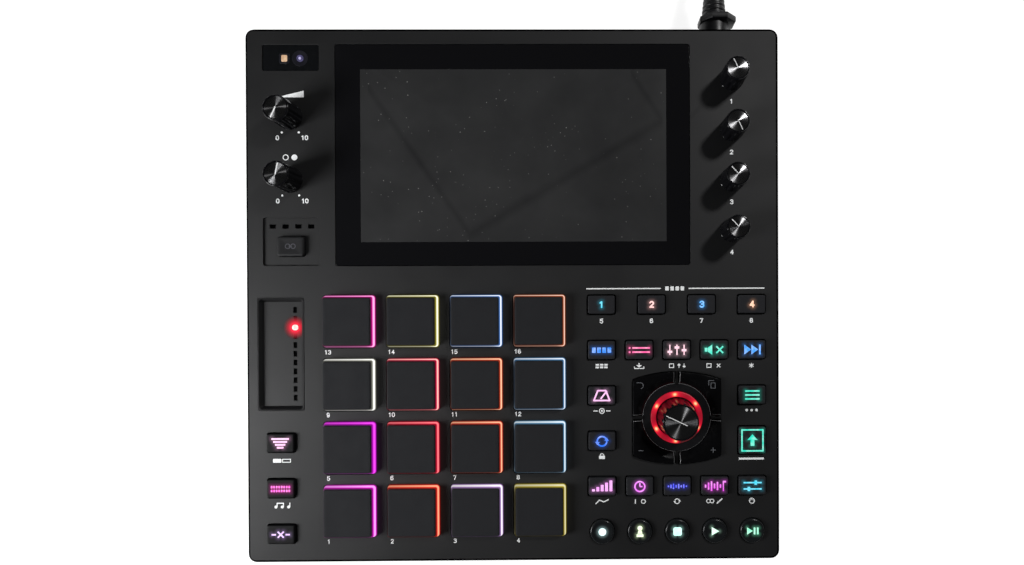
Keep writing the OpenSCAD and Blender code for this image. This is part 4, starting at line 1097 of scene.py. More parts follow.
class DRUM_OT_lead(bpy.types.Operator):
    """Make the power plug, the lead with its coil and tie, and the wall adaptor."""

    bl_idname = "drum.lead"
    bl_label = "Power lead"

    def execute(self, context):
        lead_skin = rubber("lead_rubber", (0.012, 0.012, 0.012), 0.5)
        plug = self.plug(gloss_plastic("plug_plastic", (0.006, 0.006, 0.007), 0.36, 0, 0.32))
        adaptor = self.adaptor()
        s = settings().lead
        radius, outer, step = s.radius / MM, s.coil_radius / MM, s.step / MM
        low_layer = TAIL_ROUTE[0][2] - 3 * step
        first = smooth_path(LEAD_ROUTE, 3)
        first[:, 2] = np.maximum(first[:, 2], low_layer)
        wound = coil_path(outer, low_layer, step)
        path = np.vstack([first[:-1], wound, smooth_path(TAIL_ROUTE, 2)[1:]])
        cord = make("power_lead", [tube(path, radius, LEAD_SIDES)], [lead_skin], CASE,
                    ["dc_lead", "dc_lead_coil"])
        tie = self.tie(outer, radius, low_layer, step)
        return {"FINISHED"}

    def plug(self, skin_material):
        """The plug: a round nose, an eight-sided collar with rounded edges and a ribbed boot to the lead."""
        nose = [(0, 0), (2.6, 0), (2.75, 0.4), (2.75, 9.6), (6.9, 9.6), (7.6, 10.3), (7.6, 18.4), (7.2, 18.9)]
        boot = [(6.9, 22.0), (6.45, 22.4)]
        for rib in range(4):
            y, r, groove = 22.8 + rib * 2.4, 6.45 - rib * 0.25, 5.75 - rib * 0.1
            boot += [(r - 0.15, y), (r, y + 0.25), (r, y + 1.15), (r - 0.15, y + 1.4), (groove, y + 1.55),
                     (groove, y + 2.25)]
        boot += [(5.2, 33.2), (4.2, 40.5), (3.3, 46.8), (2.9, 47.3), (2.0, 47.3)]
        corner = COLLAR_ACROSS / 2 / math.cos(math.pi / 8)
        octagon = circle_loop(corner - np.array([0.9, 0.25, 0, 0, 0.25, 0.9]), 8, math.pi / 8)
        collar = skin(raise_loops(octagon, [18.7, 18.95, 19.4, 21.4, 21.85, 22.1]))
        start = REAR - PLUG_SINK
        parts = [rearward(lathe(nose, 48), PLUG_X, start, PLUG_Z),
                 rearward(collar, PLUG_X + COLLAR_SHIFT, start, PLUG_Z),
                 rearward(lathe(boot, 48), PLUG_X, start, PLUG_Z)]
        return make("power_plug", parts, [skin_material], CASE, ["dc_plug"])

    def tie(self, outer, radius, low_layer, step):
        """A strap around the coil's turns: a rounded band in the coil's cross-section, carried round it."""
        inner_r, outer_r = outer - LAST_TURNS * LAST_PITCH - radius - 0.15, outer + radius + 0.15
        floor, top = low_layer - radius - 0.1, low_layer + 3 * step + radius + 0.15
        width, height, middle_r = outer_r - inner_r, top - floor, (outer_r + inner_r) / 2
        turn = math.radians(TIE_BEARING)
        across = np.array([math.cos(turn), math.sin(turn), 0])
        along = np.array([-math.sin(turn), math.cos(turn), 0])
        upright = np.array([0, 0, 1.0])
        ring = rounded_loop(width, height, 2.2, [0, -0.42, -0.42, 0, 0], 6, 4)
        side = np.array([-1, -1, 1, 1, -1]) * TIE_WIDTH / 2
        centre = np.array([COIL[0], COIL[1], (floor + top) / 2])
        rows = (centre + (ring[..., :1] + middle_r) * across + ring[..., 1:] * upright
                + side[:, None, None] * along)
        strap = rubber("strap_fabric", (0.02, 0.02, 0.022), 0.8, 0.5)
        return make("lead_tie", [skin(rows[:, ::-1], caps=OPEN)], [strap], CASE,
                    merge=True)

    def adaptor(self):
        """The wall adaptor: a body with soft edges and a parting line, two pins and a boot for the lead."""
        a, b = ADAPTOR
        boot_length, top, seam = 12.0, 30.0, 14.05
        body_right = b[0] - boot_length
        place = ((a[0] + body_right) / 2, (a[1] + b[1]) / 2)
        inset, drop = quarter(2.6, 6)
        levels = np.concatenate([drop[::-1], seam + np.array([-0.45, -0.15, 0.15, 0.45]), top - drop])
        insets = np.concatenate([inset[::-1], [0, 0.3, 0.3, 0], inset])
        outlines = rounded_loop(body_right - a[0], b[1] - a[1], 5, insets, 7)
        shell = skin(raise_loops(outlines, levels, place))
        boot = [(5.2, 0), (5.2, 1.2), (4.7, 1.8), (4.4, 4), (4.5, 4.4), (4.1, 6), (4.2, 6.4), (3.7, 8),
                (3.8, 8.4), (3.3, 10), (3.1, 11.7), (2.8, 12), (2.0, 12)]
        points, faces = lathe(boot, 40)
        boot = np.stack([points[:, 2] + body_right - 0.3, points[:, 0] + place[1], points[:, 1] + 17.8], -1)
        pins = []
        for side in (-1, 1):
            spot = (a[0] + 13, place[1] + side * 9.5)
            sleeve = [(2.4, top - 0.3), (2.4, top + 1.2), (2.1, top + 1.5), (2, top + 9)]
            tip = [(2, top + 9), (2, top + 17.6), (1.4, top + 18.8), (0.5, top + 19)]
            pins += [(*lathe(sleeve, 24, spot), 0), (*lathe(tip, 24, spot), 1)]
        plastic = moulded_plastic("adaptor_plastic", (0.014, 0.014, 0.015), 0.5, 0.3, 0.5, 0.05)
        pin_metal = brushed_metal("pin_nickel", (0.6, 0.58, 0.54), 0.25)
        return make("wall_adaptor_shell", [shell, (boot, faces), *pins], [plastic, pin_metal], CASE,
                    ["wall_adaptor"])


# ------------------------------------------------ case

LINK = middle("link_key")[:2]
LINK_PAN = (LINK[0], LINK[1] + 2.4)
LINK_W, LINK_D = 28.5, 24.3
LINK_FLOOR = Z_PANEL - 0.8
LINK_HOLE = (14.2, 10.6, 1.7)
LINK_SLOTS = [(LINK_PAN[0] + (i - 1.5) * 6.45, LINK_PAN[1] + 7.8) for i in range(4)]
STRIP_RIM = [1.6, 1.6, 0]
STRIP = (low("touch_strip") + STRIP_RIM, high("touch_strip") - STRIP_RIM)
DIAL_W, DIAL_D, DIAL_ARCH = 44.7, 46.7, 3.9
ROUND_HOLE, KNOB_HOLE = 6.5, 3.95
JACKS = [(-112 + 19 * i, 5.1) for i in range(5)] + [(-21, 3.65), (-9.5, 3.65), (PLUG_X, 6.4)]
DATA_SOCKETS = ((38, 12.2, 11.2), (60, 13.4, 6.0))
BOSS_REACH = 128.0


def dial_radius(angle, grow=0.0, soften=0.3):
    """Distance from the dial's centre to the corner keys' outline, for an angle in the first quadrant.

    The straight side lies at half the width over the cosine. The arch is a circle of radius R whose centre
    lies below the middle of the dial. The two meet in a corner rounded by a smooth minimum."""
    big = (DIAL_W ** 2 / 4) / (2 * DIAL_ARCH) + DIAL_ARCH / 2
    centre = DIAL_D / 2 - big
    side = (DIAL_W / 2 + grow) / np.maximum(np.cos(angle), 1e-6)
    rise = centre * np.sin(angle)
    arch = rise + np.sqrt(rise ** 2 - centre ** 2 + (big + grow) ** 2)
    return -soften * np.logaddexp(-side / soften, -arch / soften)


def dial_loop(grow, per_quarter=24):
    """The dial's whole outline, anticlockwise."""
    angle = np.arange(4 * per_quarter) * math.pi / 2 / per_quarter
    folded = np.abs((angle + math.pi / 2) % math.pi - math.pi / 2)
    radius = dial_radius(folded, grow)
    return np.stack([radius * np.cos(angle), radius * np.sin(angle)], -1)


def flared(outline, floor, rim, place):
    """A cutter: an upright wall below the panel, and a rim that opens out along a quarter circle to the top.

    outline gives the loop for a growth. At angle t the rim has grown by rim (1 - cos t) and risen by
    rim sin t."""
    t = np.linspace(0, math.pi / 2, 4)
    grow = np.concatenate([[0], rim * (1 - np.cos(t)), [rim]])
    heights = np.concatenate([[floor], Z_PANEL - rim + rim * np.sin(t), [Z_PANEL + 2]])
    return skin(raise_loops(np.stack([outline(g) for g in grow]), heights, place))


def panel_cutters(rim):
    """Everything that opens the panel: a flared cutter for each pad, key, knob, recess and window."""
    def rectangle(width, depth, radius):
        """A rounded rectangle's outline for a growth."""
        return lambda grow: rounded_loop(width, depth, radius, -grow)[0]

    def circle(radius):
        """A circle's outline for a growth."""
        return lambda grow: circle_loop(radius + grow, 40)[0]

    deep = Z_UNDER - 2
    cuts = []
    for name in PADS:
        width, depth, place = plan((low(name), high(name)))
        grow = 2 * (KEY_GAP - PAD_LIP)
        cuts.append((rectangle(width + grow, depth + grow, 2.0), deep, place))
    for name in LIT_KEYS:
        centres, width, depth = key_centres(name)
        cuts += [(rectangle(width + 2 * KEY_GAP, depth + 2 * KEY_GAP, 1.25), deep, c) for c in centres]
    cuts += [(circle(ROUND_HOLE), deep, middle(name)[:2]) for name in ROUND_KEYS]
    cuts += [(circle(KNOB_HOLE), deep, middle(name)[:2]) for name in LEVEL_KNOBS + SMALL_KNOBS]
    cuts.append((lambda grow: dial_loop(KEY_GAP + grow), deep, DIAL))
    cuts.append((rectangle(LINK_W, LINK_D, 1.2), deep, LINK_PAN))
    for box, gap, corner, floor in ((STRIP, 0.2, 0.8, deep), (GLASS, 0.6, 1.4, GLASS[0][2] - 0.02),
                                    (CAMERA_GLASS, 0.2, 0.9, CAMERA_GLASS[0][2] - 0.02)):
        width, depth, place = plan(box)
        cuts.append((rectangle(width + gap, depth + gap, corner), floor, place))
    return [flared(outline, floor, rim, place) for outline, floor, place in cuts]


def socket_cutters():
    """Openings in the rear wall for the jacks, the two data sockets and the power socket."""
    start, length = REAR - 8, 12
    rounds = [rearward(lathe([(radius, 0), (radius, length)], 40), x, start, PLUG_Z) for x, radius in JACKS]
    return rounds + [rearward(rounded_block(width, height, 0.4, 0, length, 0.01), x, start, PLUG_Z)
                     for x, width, height in DATA_SOCKETS]


class DRUM_OT_case(bpy.types.Operator):
    """Make the panel with its openings, and finish the lower case, feet, screws, boards and sockets."""

    bl_idname = "drum.case"
    bl_label = "Case"

    def execute(self, context):
        s = settings().case
        colour = tuple(s.colour)
        corner, wall, edge = s.corner / MM, s.wall / MM, s.edge / MM
        width, depth, _ = plan((low("top_case"), high("top_case")))
        plastic = moulded_plastic("case_plastic", colour, 0.6, 0.3, 0.32, 0.04, 0.45)
        shell = rounded_block(width, depth, corner, Z_SPLIT, Z_PANEL, edge)
        hollow = rounded_block(width - 2 * wall, depth - 2 * wall, corner - wall + 0.5, Z_SPLIT - 1, Z_UNDER,
                               0.6)
        shell = carve(carve(shell, [hollow]), panel_cutters(s.rim / MM) + socket_cutters())
        # Painted shade: the rounding around the panel gets a nearly black copy of the case plastic, so that
        # it reads as a dark outline.
        edge_shade = moulded_plastic("painted_edge_shade", shade(colour, 0.08), 0.8, 0.1, 0.32, 0.02, 0)
        top = make("top_shell", [shell, self.link_pan(), *self.bosses()], [plastic, edge_shade], CASE,
                   ["top_case"], crease=28, weighted=True)
        self.darken_edge(top, edge, width / 2, depth / 2)
        self.ribs(moulded_plastic("dial_rib", shade(colour, 0.4), 0.55, 0.2, 0.3, 0.02, 0.2))
        lower = moulded_plastic("lower_case_plastic", shade(colour, 0.85), 0.55, 0.4, 0.4, 0.06)
        dress("bottom_cover", lower)
        dress("rubber_feet", rubber("foot_rubber", (0.02, 0.02, 0.02), 0.7))
        dress("case_screws", brushed_metal("screw_steel", (0.5, 0.5, 0.52), 0.35))
        dress("control_board", gloss_plastic("circuit_board", (0.01, 0.06, 0.03), 0.35))
        dress("display_module", brushed_metal("display_panel", (0.35, 0.35, 0.36), 0.4))
        dress("rotary_controls", brushed_metal("control_metal", (0.42, 0.42, 0.44), 0.35))
        dress("rear_sockets", gloss_plastic("socket_plastic", (0.012, 0.012, 0.013), 0.3))
        dress("data_stem", brushed_metal("stem_metal", (0.45, 0.45, 0.47), 0.3))
        return {"FINISHED"}

    def darken_edge(self, piece, edge, half_width, half_depth):
        """Gives painted shade, a nearly black second material, to the faces of the rounding around the panel:
        those whose middle lies below the panel's face by no more than the edge, and next to the outline."""
        middles = np.empty(len(piece.data.polygons) * 3, np.float32)
        piece.data.polygons.foreach_get("center", middles)
        x, y, z = middles.reshape(-1, 3).T / MM
        outside = np.maximum(np.abs(x) / half_width, np.abs(y) / half_depth) > 0.975
        rounded = (z < Z_PANEL - 0.005) & (z > Z_PANEL - edge - 0.05) & outside
        piece.data.polygons.foreach_set("material_index", rounded.astype(np.int32))

    def bosses(self):
        """Posts under the panel that the case's screws bite into."""
        foot, head, bore, radius = Z_UNDER - 5.4, Z_UNDER + 0.4, 1.6, 3
        profile = [(bore, foot), (radius, foot), (radius, head), (bore, head), (bore, foot)]
        spots = [(x, y) for x in (-BOSS_REACH, BOSS_REACH) for y in (-BOSS_REACH, BOSS_REACH)]
        return [lathe(profile, 24, spot, OPEN) for spot in spots]

    def link_pan(self):
        """The recess of the link key: a floor with a hole for the key and four windows for its lamps."""
        play = 0.04
        tray = rounded_block(LINK_W - play, LINK_D - play, 1.18, Z_UNDER - 1, LINK_FLOOR, 0.02, LINK_PAN)
        holes = [rounded_block(*LINK_HOLE, Z_UNDER - 2, Z_PANEL, 0.01, LINK)]
        holes += [rounded_block(3.2, 2.2, 0.3, Z_UNDER - 2, Z_PANEL, 0.01, spot) for spot in LINK_SLOTS]
        return carve(tray, holes)

    def ribs(self, plastic):
        """The panel's cross of ribs between the corner keys."""
        start, width, overlap = 17.0, 1.9, 0.6
        parts = []
        for turn in (0, 90, 180, 270):
            end = float(dial_radius(math.radians(turn % 180), overlap))
            rib = rounded_block(end - start, width, 0.3, Z_UNDER, Z_PANEL, 0.3, ((start + end) / 2, 0))
            parts.append(swing(rib, turn, DIAL))
        make("dial_ribs", parts, [plastic], CASE)


# ------------------------------------------------ screen and camera window

class DRUM_OT_screen(bpy.types.Operator):
    """Make the cover glass with the display under it, and the camera window with its lamp and lens."""

    bl_idname = "drum.screen"
    bl_label = "Screen and camera window"

    LAMP_SPOT, LENS_SPOT = (-115.2, 120.1), (-107.3, 120.1)

    def execute(self, context):
        width, depth, place = plan(GLASS)
        part = rounded_block(width, depth, 1.1, GLASS[0][2], GLASS[1][2], 0.06, place)
        make("cover_glass", [part], [screen_glass("cover_glass")], CASE, ["touch_glass"])
        self.camera_window()
        return {"FINISHED"}

    def camera_window(self):
        """A dark pane with the lamp in its square frame, and the lens with its glint in a round barrel. The
        lens's violet and its glint glow as emission: a painted reflection and a painted highlight.
        """
        width, depth, place = plan(CAMERA_GLASS)
        top = CAMERA_GLASS[1][2] - 0.02
        pane = rounded_block(width, depth, 0.8, CAMERA_GLASS[0][2], top, 0.15, place)
        lamp_frame = rounded_block(5.2, 5.2, 0.9, top - 0.3, top + 0.05, 0.05, self.LAMP_SPOT)
        lamp = rounded_block(3.0, 3.4, 0.6, top - 0.3, top + 0.12, 0.08, self.LAMP_SPOT, 4, 0.1)
        barrel = lathe([(4.0, top - 0.3), (4.0, top + 0.1), (3.7, top + 0.2), (3.3, top + 0.1),
                        (2.4, top + 0.02), (2.0, top)], 48, self.LENS_SPOT)
        lens = lathe([(1.8, top - 0.2), (1.8, top + 0.04), (1.4, top + 0.14), (1.0, top + 0.22),
                      (0.3, top + 0.26)], 40, self.LENS_SPOT)
        # Painted highlight: the glint is a small glowing dome on the lens.
        glint = lathe([(0.75, top + 0.2), (0.6, top + 0.3), (0.3, top + 0.34)], 32, self.LENS_SPOT)
        finishes = [
            gloss_plastic("window_plastic", (0.0045, 0.0050, 0.0058), 0.08, 0.3),
            gloss_plastic("lens_barrel", (0.009, 0.009, 0.013), 0.3, 0),
            lit_legend("lamp_amber", tint(176, 142, 112), tint(214, 184, 150), 0.9),
            # Painted reflection: the lens glows violet.
            lit_legend("lens_violet", tint(48, 46, 74), tint(98, 92, 136), 0.9),
            lit_legend("lens_glint", tint(150, 144, 188), tint(214, 208, 236), 0.9),
        ]
        make("camera_pane", [pane, (*lamp_frame, 1), (*lamp, 2), (*barrel, 1), (*lens, 3), (*glint, 4)],
             finishes, CASE, ["camera_window"])


# ------------------------------------------------ pads

class DRUM_OT_pads(bpy.types.Operator):
    """Make the sixteen pads, each a dark rubber cap on a skirt that its own lamp lights."""

    bl_idname = "drum.pads"
    bl_label = "Pads"

    def execute(self, context):
        s = settings().pads
        cap_rubber = rubber("pad_rubber", tuple(s.colour), 0.75, 0.35, 0.15)
        for name, (core, rich) in zip(PADS, PAD_LIGHTS):
            self.pad(name, tint(*core), tint(*rich), cap_rubber, s)
        return {"FINISHED"}

    def pad(self, name, core, rich, cap_rubber, s):
        """The skirt stands on a flange and narrows evenly to the cap. The cap's rows go up its side, round
        the quarter circle of its edge and inwards over the top, which sinks as 1 - scale to the fourth."""
        place, top = middle(name)[:2], high(name)[2]
        width = high(name)[0] - low(name)[0] - 2 * PAD_LIP
        slope, cap, edge = s.slope / MM, s.cap / MM, s.edge / MM
        cap_low, skirt_low = top - cap, Z_PANEL - 0.2
        ledge, tuck, dip = 0.3, 0.25, 0.12
        foot = raise_loops(rounded_loop(width, width, 1.6, [-PAD_LIP, -PAD_LIP, 0, 0, 0], 8, 8),
                           [KEY_LOW, KEY_LOW + FLANGE, KEY_LOW + FLANGE + 0.05, skirt_low - 1, skirt_low],
                           place)
        rise = np.linspace(0, 1, 6)
        wall = raise_loops(rounded_loop(width, width, 1.6, (slope - ledge) * rise, 8, 8),
                           skirt_low + (cap_low - skirt_low) * rise, place)
        skirt = make(f"{name}_skirt", [skin(np.concatenate([foot, wall[1:]]))],
                     [self.skirt_light(name, core, rich, s.light)], name, crease=60)
        here = coordinates(skirt)
        give_values(skirt, "rise", np.clip((here[:, 2] - Z_PANEL) / (cap_low - Z_PANEL), 0, 1))
        # Painted light: how brightly each side of the skirt glows.
        give_values(skirt, "aim", self.brightness(here[:, :2] - place))
        inset, drop = quarter(edge, 5)
        across = width - 2 * slope
        rows = rounded_loop(across, across, 1.0, np.concatenate([[tuck, 0], inset]), 8, 6)
        scale = np.linspace(1, 0.08, 9)[1:]
        heights = np.concatenate([[cap_low - 0.02, cap_low + 0.15], top - drop, top - dip * (1 - scale ** 4)])
        make(f"{name}_cap", [skin(raise_loops(inwards(rows, scale), heights, place))], [cap_rubber], name,
             [name])

    def brightness(self, offset):
        """Painted light: brightest on the right side, then the rear, weaker at the front, and faint on the
        left, rather than even all round.
        """
        unit = offset / np.maximum(np.abs(offset).max(1, keepdims=True), 0.1)
        right, rear, front = (np.clip(unit @ np.array(d, float), 0, 1) ** 8
                              for d in ((1, 0), (0, 1), (0, -1)))
        fade = 0.62 + 0.38 * (unit[:, 0] + 1) / 2
        return np.clip(0.05 + 0.95 * right + 0.92 * rear * fade + 0.42 * front * fade, 0, 1)

    def skirt_light(self, name, core, rich, strength):
        """Translucent rubber lit from below, with painted shade at both ends of its glow: dark at the foot, a
        pale bright band, and a saturated fringe that dims towards the cap."""
        f = Finish(f"{name}_light", shade(rich, 0.04), 0.45, Specular_IOR_Level=0.3)
        stops = [(0.0, shade(rich, 0.12)), (0.12, shade(rich, 0.8)), (0.26, core), (0.58, core), (0.74, rich),
                 (1.0, shade(rich, 0.25))]
        f.feed("Emission Color", f.ramp(f.value("rise"), stops))
        power = f.maths("MULTIPLY", f.maths("POWER", f.value("aim"), 1.3), strength)
        return f.feed("Emission Strength", power).material


# ------------------------------------------------ keys

class DRUM_OT_keys(bpy.types.Operator):
    """Make the rubber keys with their lit legends."""

    bl_idname = "drum.keys"
    bl_label = "Keys"

    BORDER = (11.4, 0.75)
    # Painted shade: the share of the keys' colour that the three keys at the left get.
    LEFT_KEY_SHADE = 0.2

    def execute(self, context):
        for name, legends in LIT_KEYS.items():
            self.row(name, legends)
        return {"FINISHED"}

    def row(self, name, legends):
        """The keys of one node: a rubber body each, the legend on it and its glow. The shift key has a lit
        border besides, and the three keys at the left get a darker copy of the keys' rubber, which is painted
        shade."""
        s = settings().keys
        centres, width, depth = key_centres(name)
        top = high(name)[2]
        size = width - CAP_EASE, depth - CAP_EASE
        scale = np.linspace(1, 0.08, 11)[1:]
        body_colour = shade(tuple(s.colour), self.LEFT_KEY_SHADE if name in LEFT_KEYS else 1)
        for i, (centre, (icon, screen_colour)) in enumerate(zip(centres, legends)):
            colour = tint(*screen_colour)
            core = tuple(0.3 + 0.7 * c for c in colour)
            ink = lit_legend(f"{name}_legend_{i + 1}", shade(colour, 0.95), core, s.light)
            key = flanged_key(size, s.corner / MM, quarter(s.edge / MM), KEY_LOW, top, centre, scale, along=7)
            parts, spots = legend_parts(icon, top + PRINT_LIFT, centre)
            if name == "shift_key":
                side, stroke = self.BORDER
                border = frame_of(0, 0, side, side, stroke)
                parts.append(plates(border, top + PRINT_LIFT, place=centre))
                spots = np.vstack([spots, np.vstack(border) + centre])
            label = name if len(legends) == 1 else f"{name}_{i + 1}"
            piece = make(label + "_cap", [key], [lit_rubber(f"{label}_rubber", body_colour, colour, s.glow)],
                         name, [name])
            glow_of(piece, spots, top)
            make(label + "_legend", parts, [ink], name)


class DRUM_OT_transport(bpy.types.Operator):
    """Make the five glossy round keys with their lit symbols."""

    bl_idname = "drum.transport"
    bl_label = "Transport keys"

    def execute(self, context):
        glow = settings().keys.glow * 1.2
        for name, (icon, screen_colour) in ROUND_KEYS.items():
            self.round_key(name, icon, tint(*screen_colour), glow)
        return {"FINISHED"}

    def round_key(self, name, icon, colour, glow):
        """A turned key on a flange, with a raised rim around a dished top that holds the lit symbol."""
        place, top = middle(name)[:2], high(name)[2]
        flange, side, dish = 7, 6.2, top - 0.3
        profile = [(flange, KEY_LOW), (flange, KEY_LOW + FLANGE), (side, KEY_LOW + FLANGE + 0.02),
                   (side, top - 0.9), (6.08, top - 0.45), (5.75, top - 0.12), (5.3, top), (4.9, top - 0.05),
                   (4.4, top - 0.22), (3.9, dish), (3.3, dish), (2.6, dish), (1.8, dish), (0.9, dish)]
        f = Finish(f"{name}_gloss", (0.009, 0.010, 0.011), 0.24, Specular_IOR_Level=0.3,
                   Emission_Color=(*colour, 1))
        # Painted glow: the gloss around the symbol glows in the symbol's colour, standing in for the bloom of
        # its light.
        f.feed("Emission Strength", f.maths("MULTIPLY", f.value("glow"), glow))
        f.sheen(f.noise(2.5, 4), 0.2, 0.32)
        piece = make(f"{name}_cap", [lathe(profile, 64, place)], [f.material], name,
                     [name], crease=40)
        parts, spots = legend_parts(icon, dish + PRINT_LIFT, place)
        glow_of(piece, spots, dish, 0.9)
        core = tuple(0.5 + 0.5 * c for c in colour)
        make(f"{name}_legend", parts, [lit_legend(f"{name}_light", colour, core, 1.05)], name)


class DRUM_OT_link(bpy.types.Operator):
    """Make the link key and the dark windows of its lamps."""

    bl_idname = "drum.link"
    bl_label = "Link key"

    def execute(self, context):
        a, b = low("link_key"), high("link_key")
        size = b[0] - a[0] - 2 * KEY_LIP, b[1] - a[1] - 2 * KEY_LIP
        key = flanged_key(size, 1.4, quarter(0.9, 6), a[2], b[2], LINK, np.array([0.8, 0.5, 0.15]), dip=0.25,
                          per_corner=7)
        colour = shade(tuple(settings().keys.colour), 0.4)
        soft = rubber("link_key_rubber", colour, 0.55, 0.3, 0.25)
        make("link_cap", [key], [soft], "link_key", ["link_key"])
        mark = plates(ICONS["chain"], b[2] - 0.21, 0.05, place=LINK)
        make("link_legend", [mark], [printed_ink("link_grey", tint(72, 72, 78))], "link_key")
        panes = [rounded_block(3.1, 2.1, 0.25, LINK_FLOOR - 1.5, LINK_FLOOR - 0.9, 0.02, spot)
                 for spot in LINK_SLOTS]
        make("link_windows", panes, [dark_window("link_window")], CASE)
        return {"FINISHED"}


# ------------------------------------------------ touch strip

class DRUM_OT_strip(bpy.types.Operator):
    """Make the touch strip: sloped frame, plate with eleven windows, and the one lamp that is lit."""

    bl_idname = "drum.strip"
    bl_label = "Touch strip"

    FROM_RIGHT, SLOT_STEP, SLOTS, LIT_SLOT = 5.4, 4.47, 11, 2

    def execute(self, context):
        width, depth, place = plan(STRIP)
        floor, plate = low("touch_strip")[2], Z_PANEL - 1.9
        across = place[0] + width / 2 - self.FROM_RIGHT
        slots = [(across, place[1] + ((self.SLOTS - 1) / 2 - i) * self.SLOT_STEP) for i in range(self.SLOTS)]
        make("strip_frame", [self.slopes(width, depth, floor, plate, place)],
             [moulded_plastic("strip_frame", (0.003, 0.003, 0.0035), 0.55, 0.2, 0.3, 0.02, 0.2)], CASE,
             merge=True, crease=30)
        slab = rounded_block(width - 3.9, depth - 3.9, 0.4, floor + 0.1, plate, 0.05, place)
        holes = [rounded_block(1.9, 3.0, 0.15, plate - 0.5, plate + 1, 0.01, spot) for spot in slots]
        plastic = moulded_plastic("strip_plastic", (0.006, 0.006, 0.0065), 0.55, 0.3, 0.3, 0.04, 0.4)
        make("strip_plate", [carve(slab, holes)], [plastic], CASE, ["touch_strip"],
             weighted=True)
        panes = [rounded_block(1.86, 2.96, 0.15, plate - 0.6, plate - 0.42, 0.01, spot) for spot in slots]
        make("strip_windows", panes, [dark_window("strip_window")], CASE)
        self.lamp(slots[self.LIT_SLOT], plate)
        return {"FINISHED"}

    def slopes(self, width, depth, floor, plate, place):
        """The frame: up its outer side, over the narrow rim and down the slope to the plate."""
        outer = rounded_loop(width, depth, 0.7, [0, 0, 0.12, 0.3], 6)
        inner = rounded_loop(width - 4, depth - 4, 0.4, [-1.55, 0, 0], 6)
        rows = raise_loops(np.concatenate([outer, inner]),
                           [floor, Z_PANEL - 0.15, Z_PANEL - 0.03, Z_PANEL, Z_PANEL - 0.06, plate, floor],
                           place)
        return skin(np.concatenate([rows, rows[:1]]), caps=OPEN)

    def lamp(self, spot, plate):
        """The lit window: a white core, and a painted red glow on thin rings around it, a pool of light on
        the plate that fades as exp of minus the squared share of the distance."""
        core = rounded_block(3.3, 3.0, 1.3, plate - 0.6, plate + 0.06, 0.2, spot, 2, 0.05)
        widest = 6.4
        radius = np.linspace(widest, 0.4, 18)
        heights = np.r_[plate + 0.01, np.full(len(radius), plate + 0.04)]
        halo = lathe(np.column_stack([np.r_[widest, radius], heights]), 48, spot)
        # Painted light: the red glow that the lamp spreads over the plate.
        f = Finish("strip_halo", (0.02, 0.004, 0.004), 0.4, Emission_Color=(1.0, 0.002, 0.036, 1))
        f.feed("Emission Strength", f.maths("MULTIPLY", f.value("glow"), 1.7))
        f.feed("Alpha", f.value("glow_edge"))
        piece = make("strip_halo", [halo], [f.material], CASE)
        far = np.linalg.norm(coordinates(piece)[:, :2] - spot, axis=1)
        give_values(piece, "glow", np.exp(-(far / 3.3) ** 2))
        give_values(piece, "glow_edge", np.clip(1.25 * np.exp(-(far / 3.1) ** 2) - 0.02, 0, 1))
        hot = lit_legend("strip_lamp", tint(255, 170, 165), tint(255, 240, 232), 1.2)
        make("strip_lamp", [core], [hot], CASE)


# ------------------------------------------------ dial

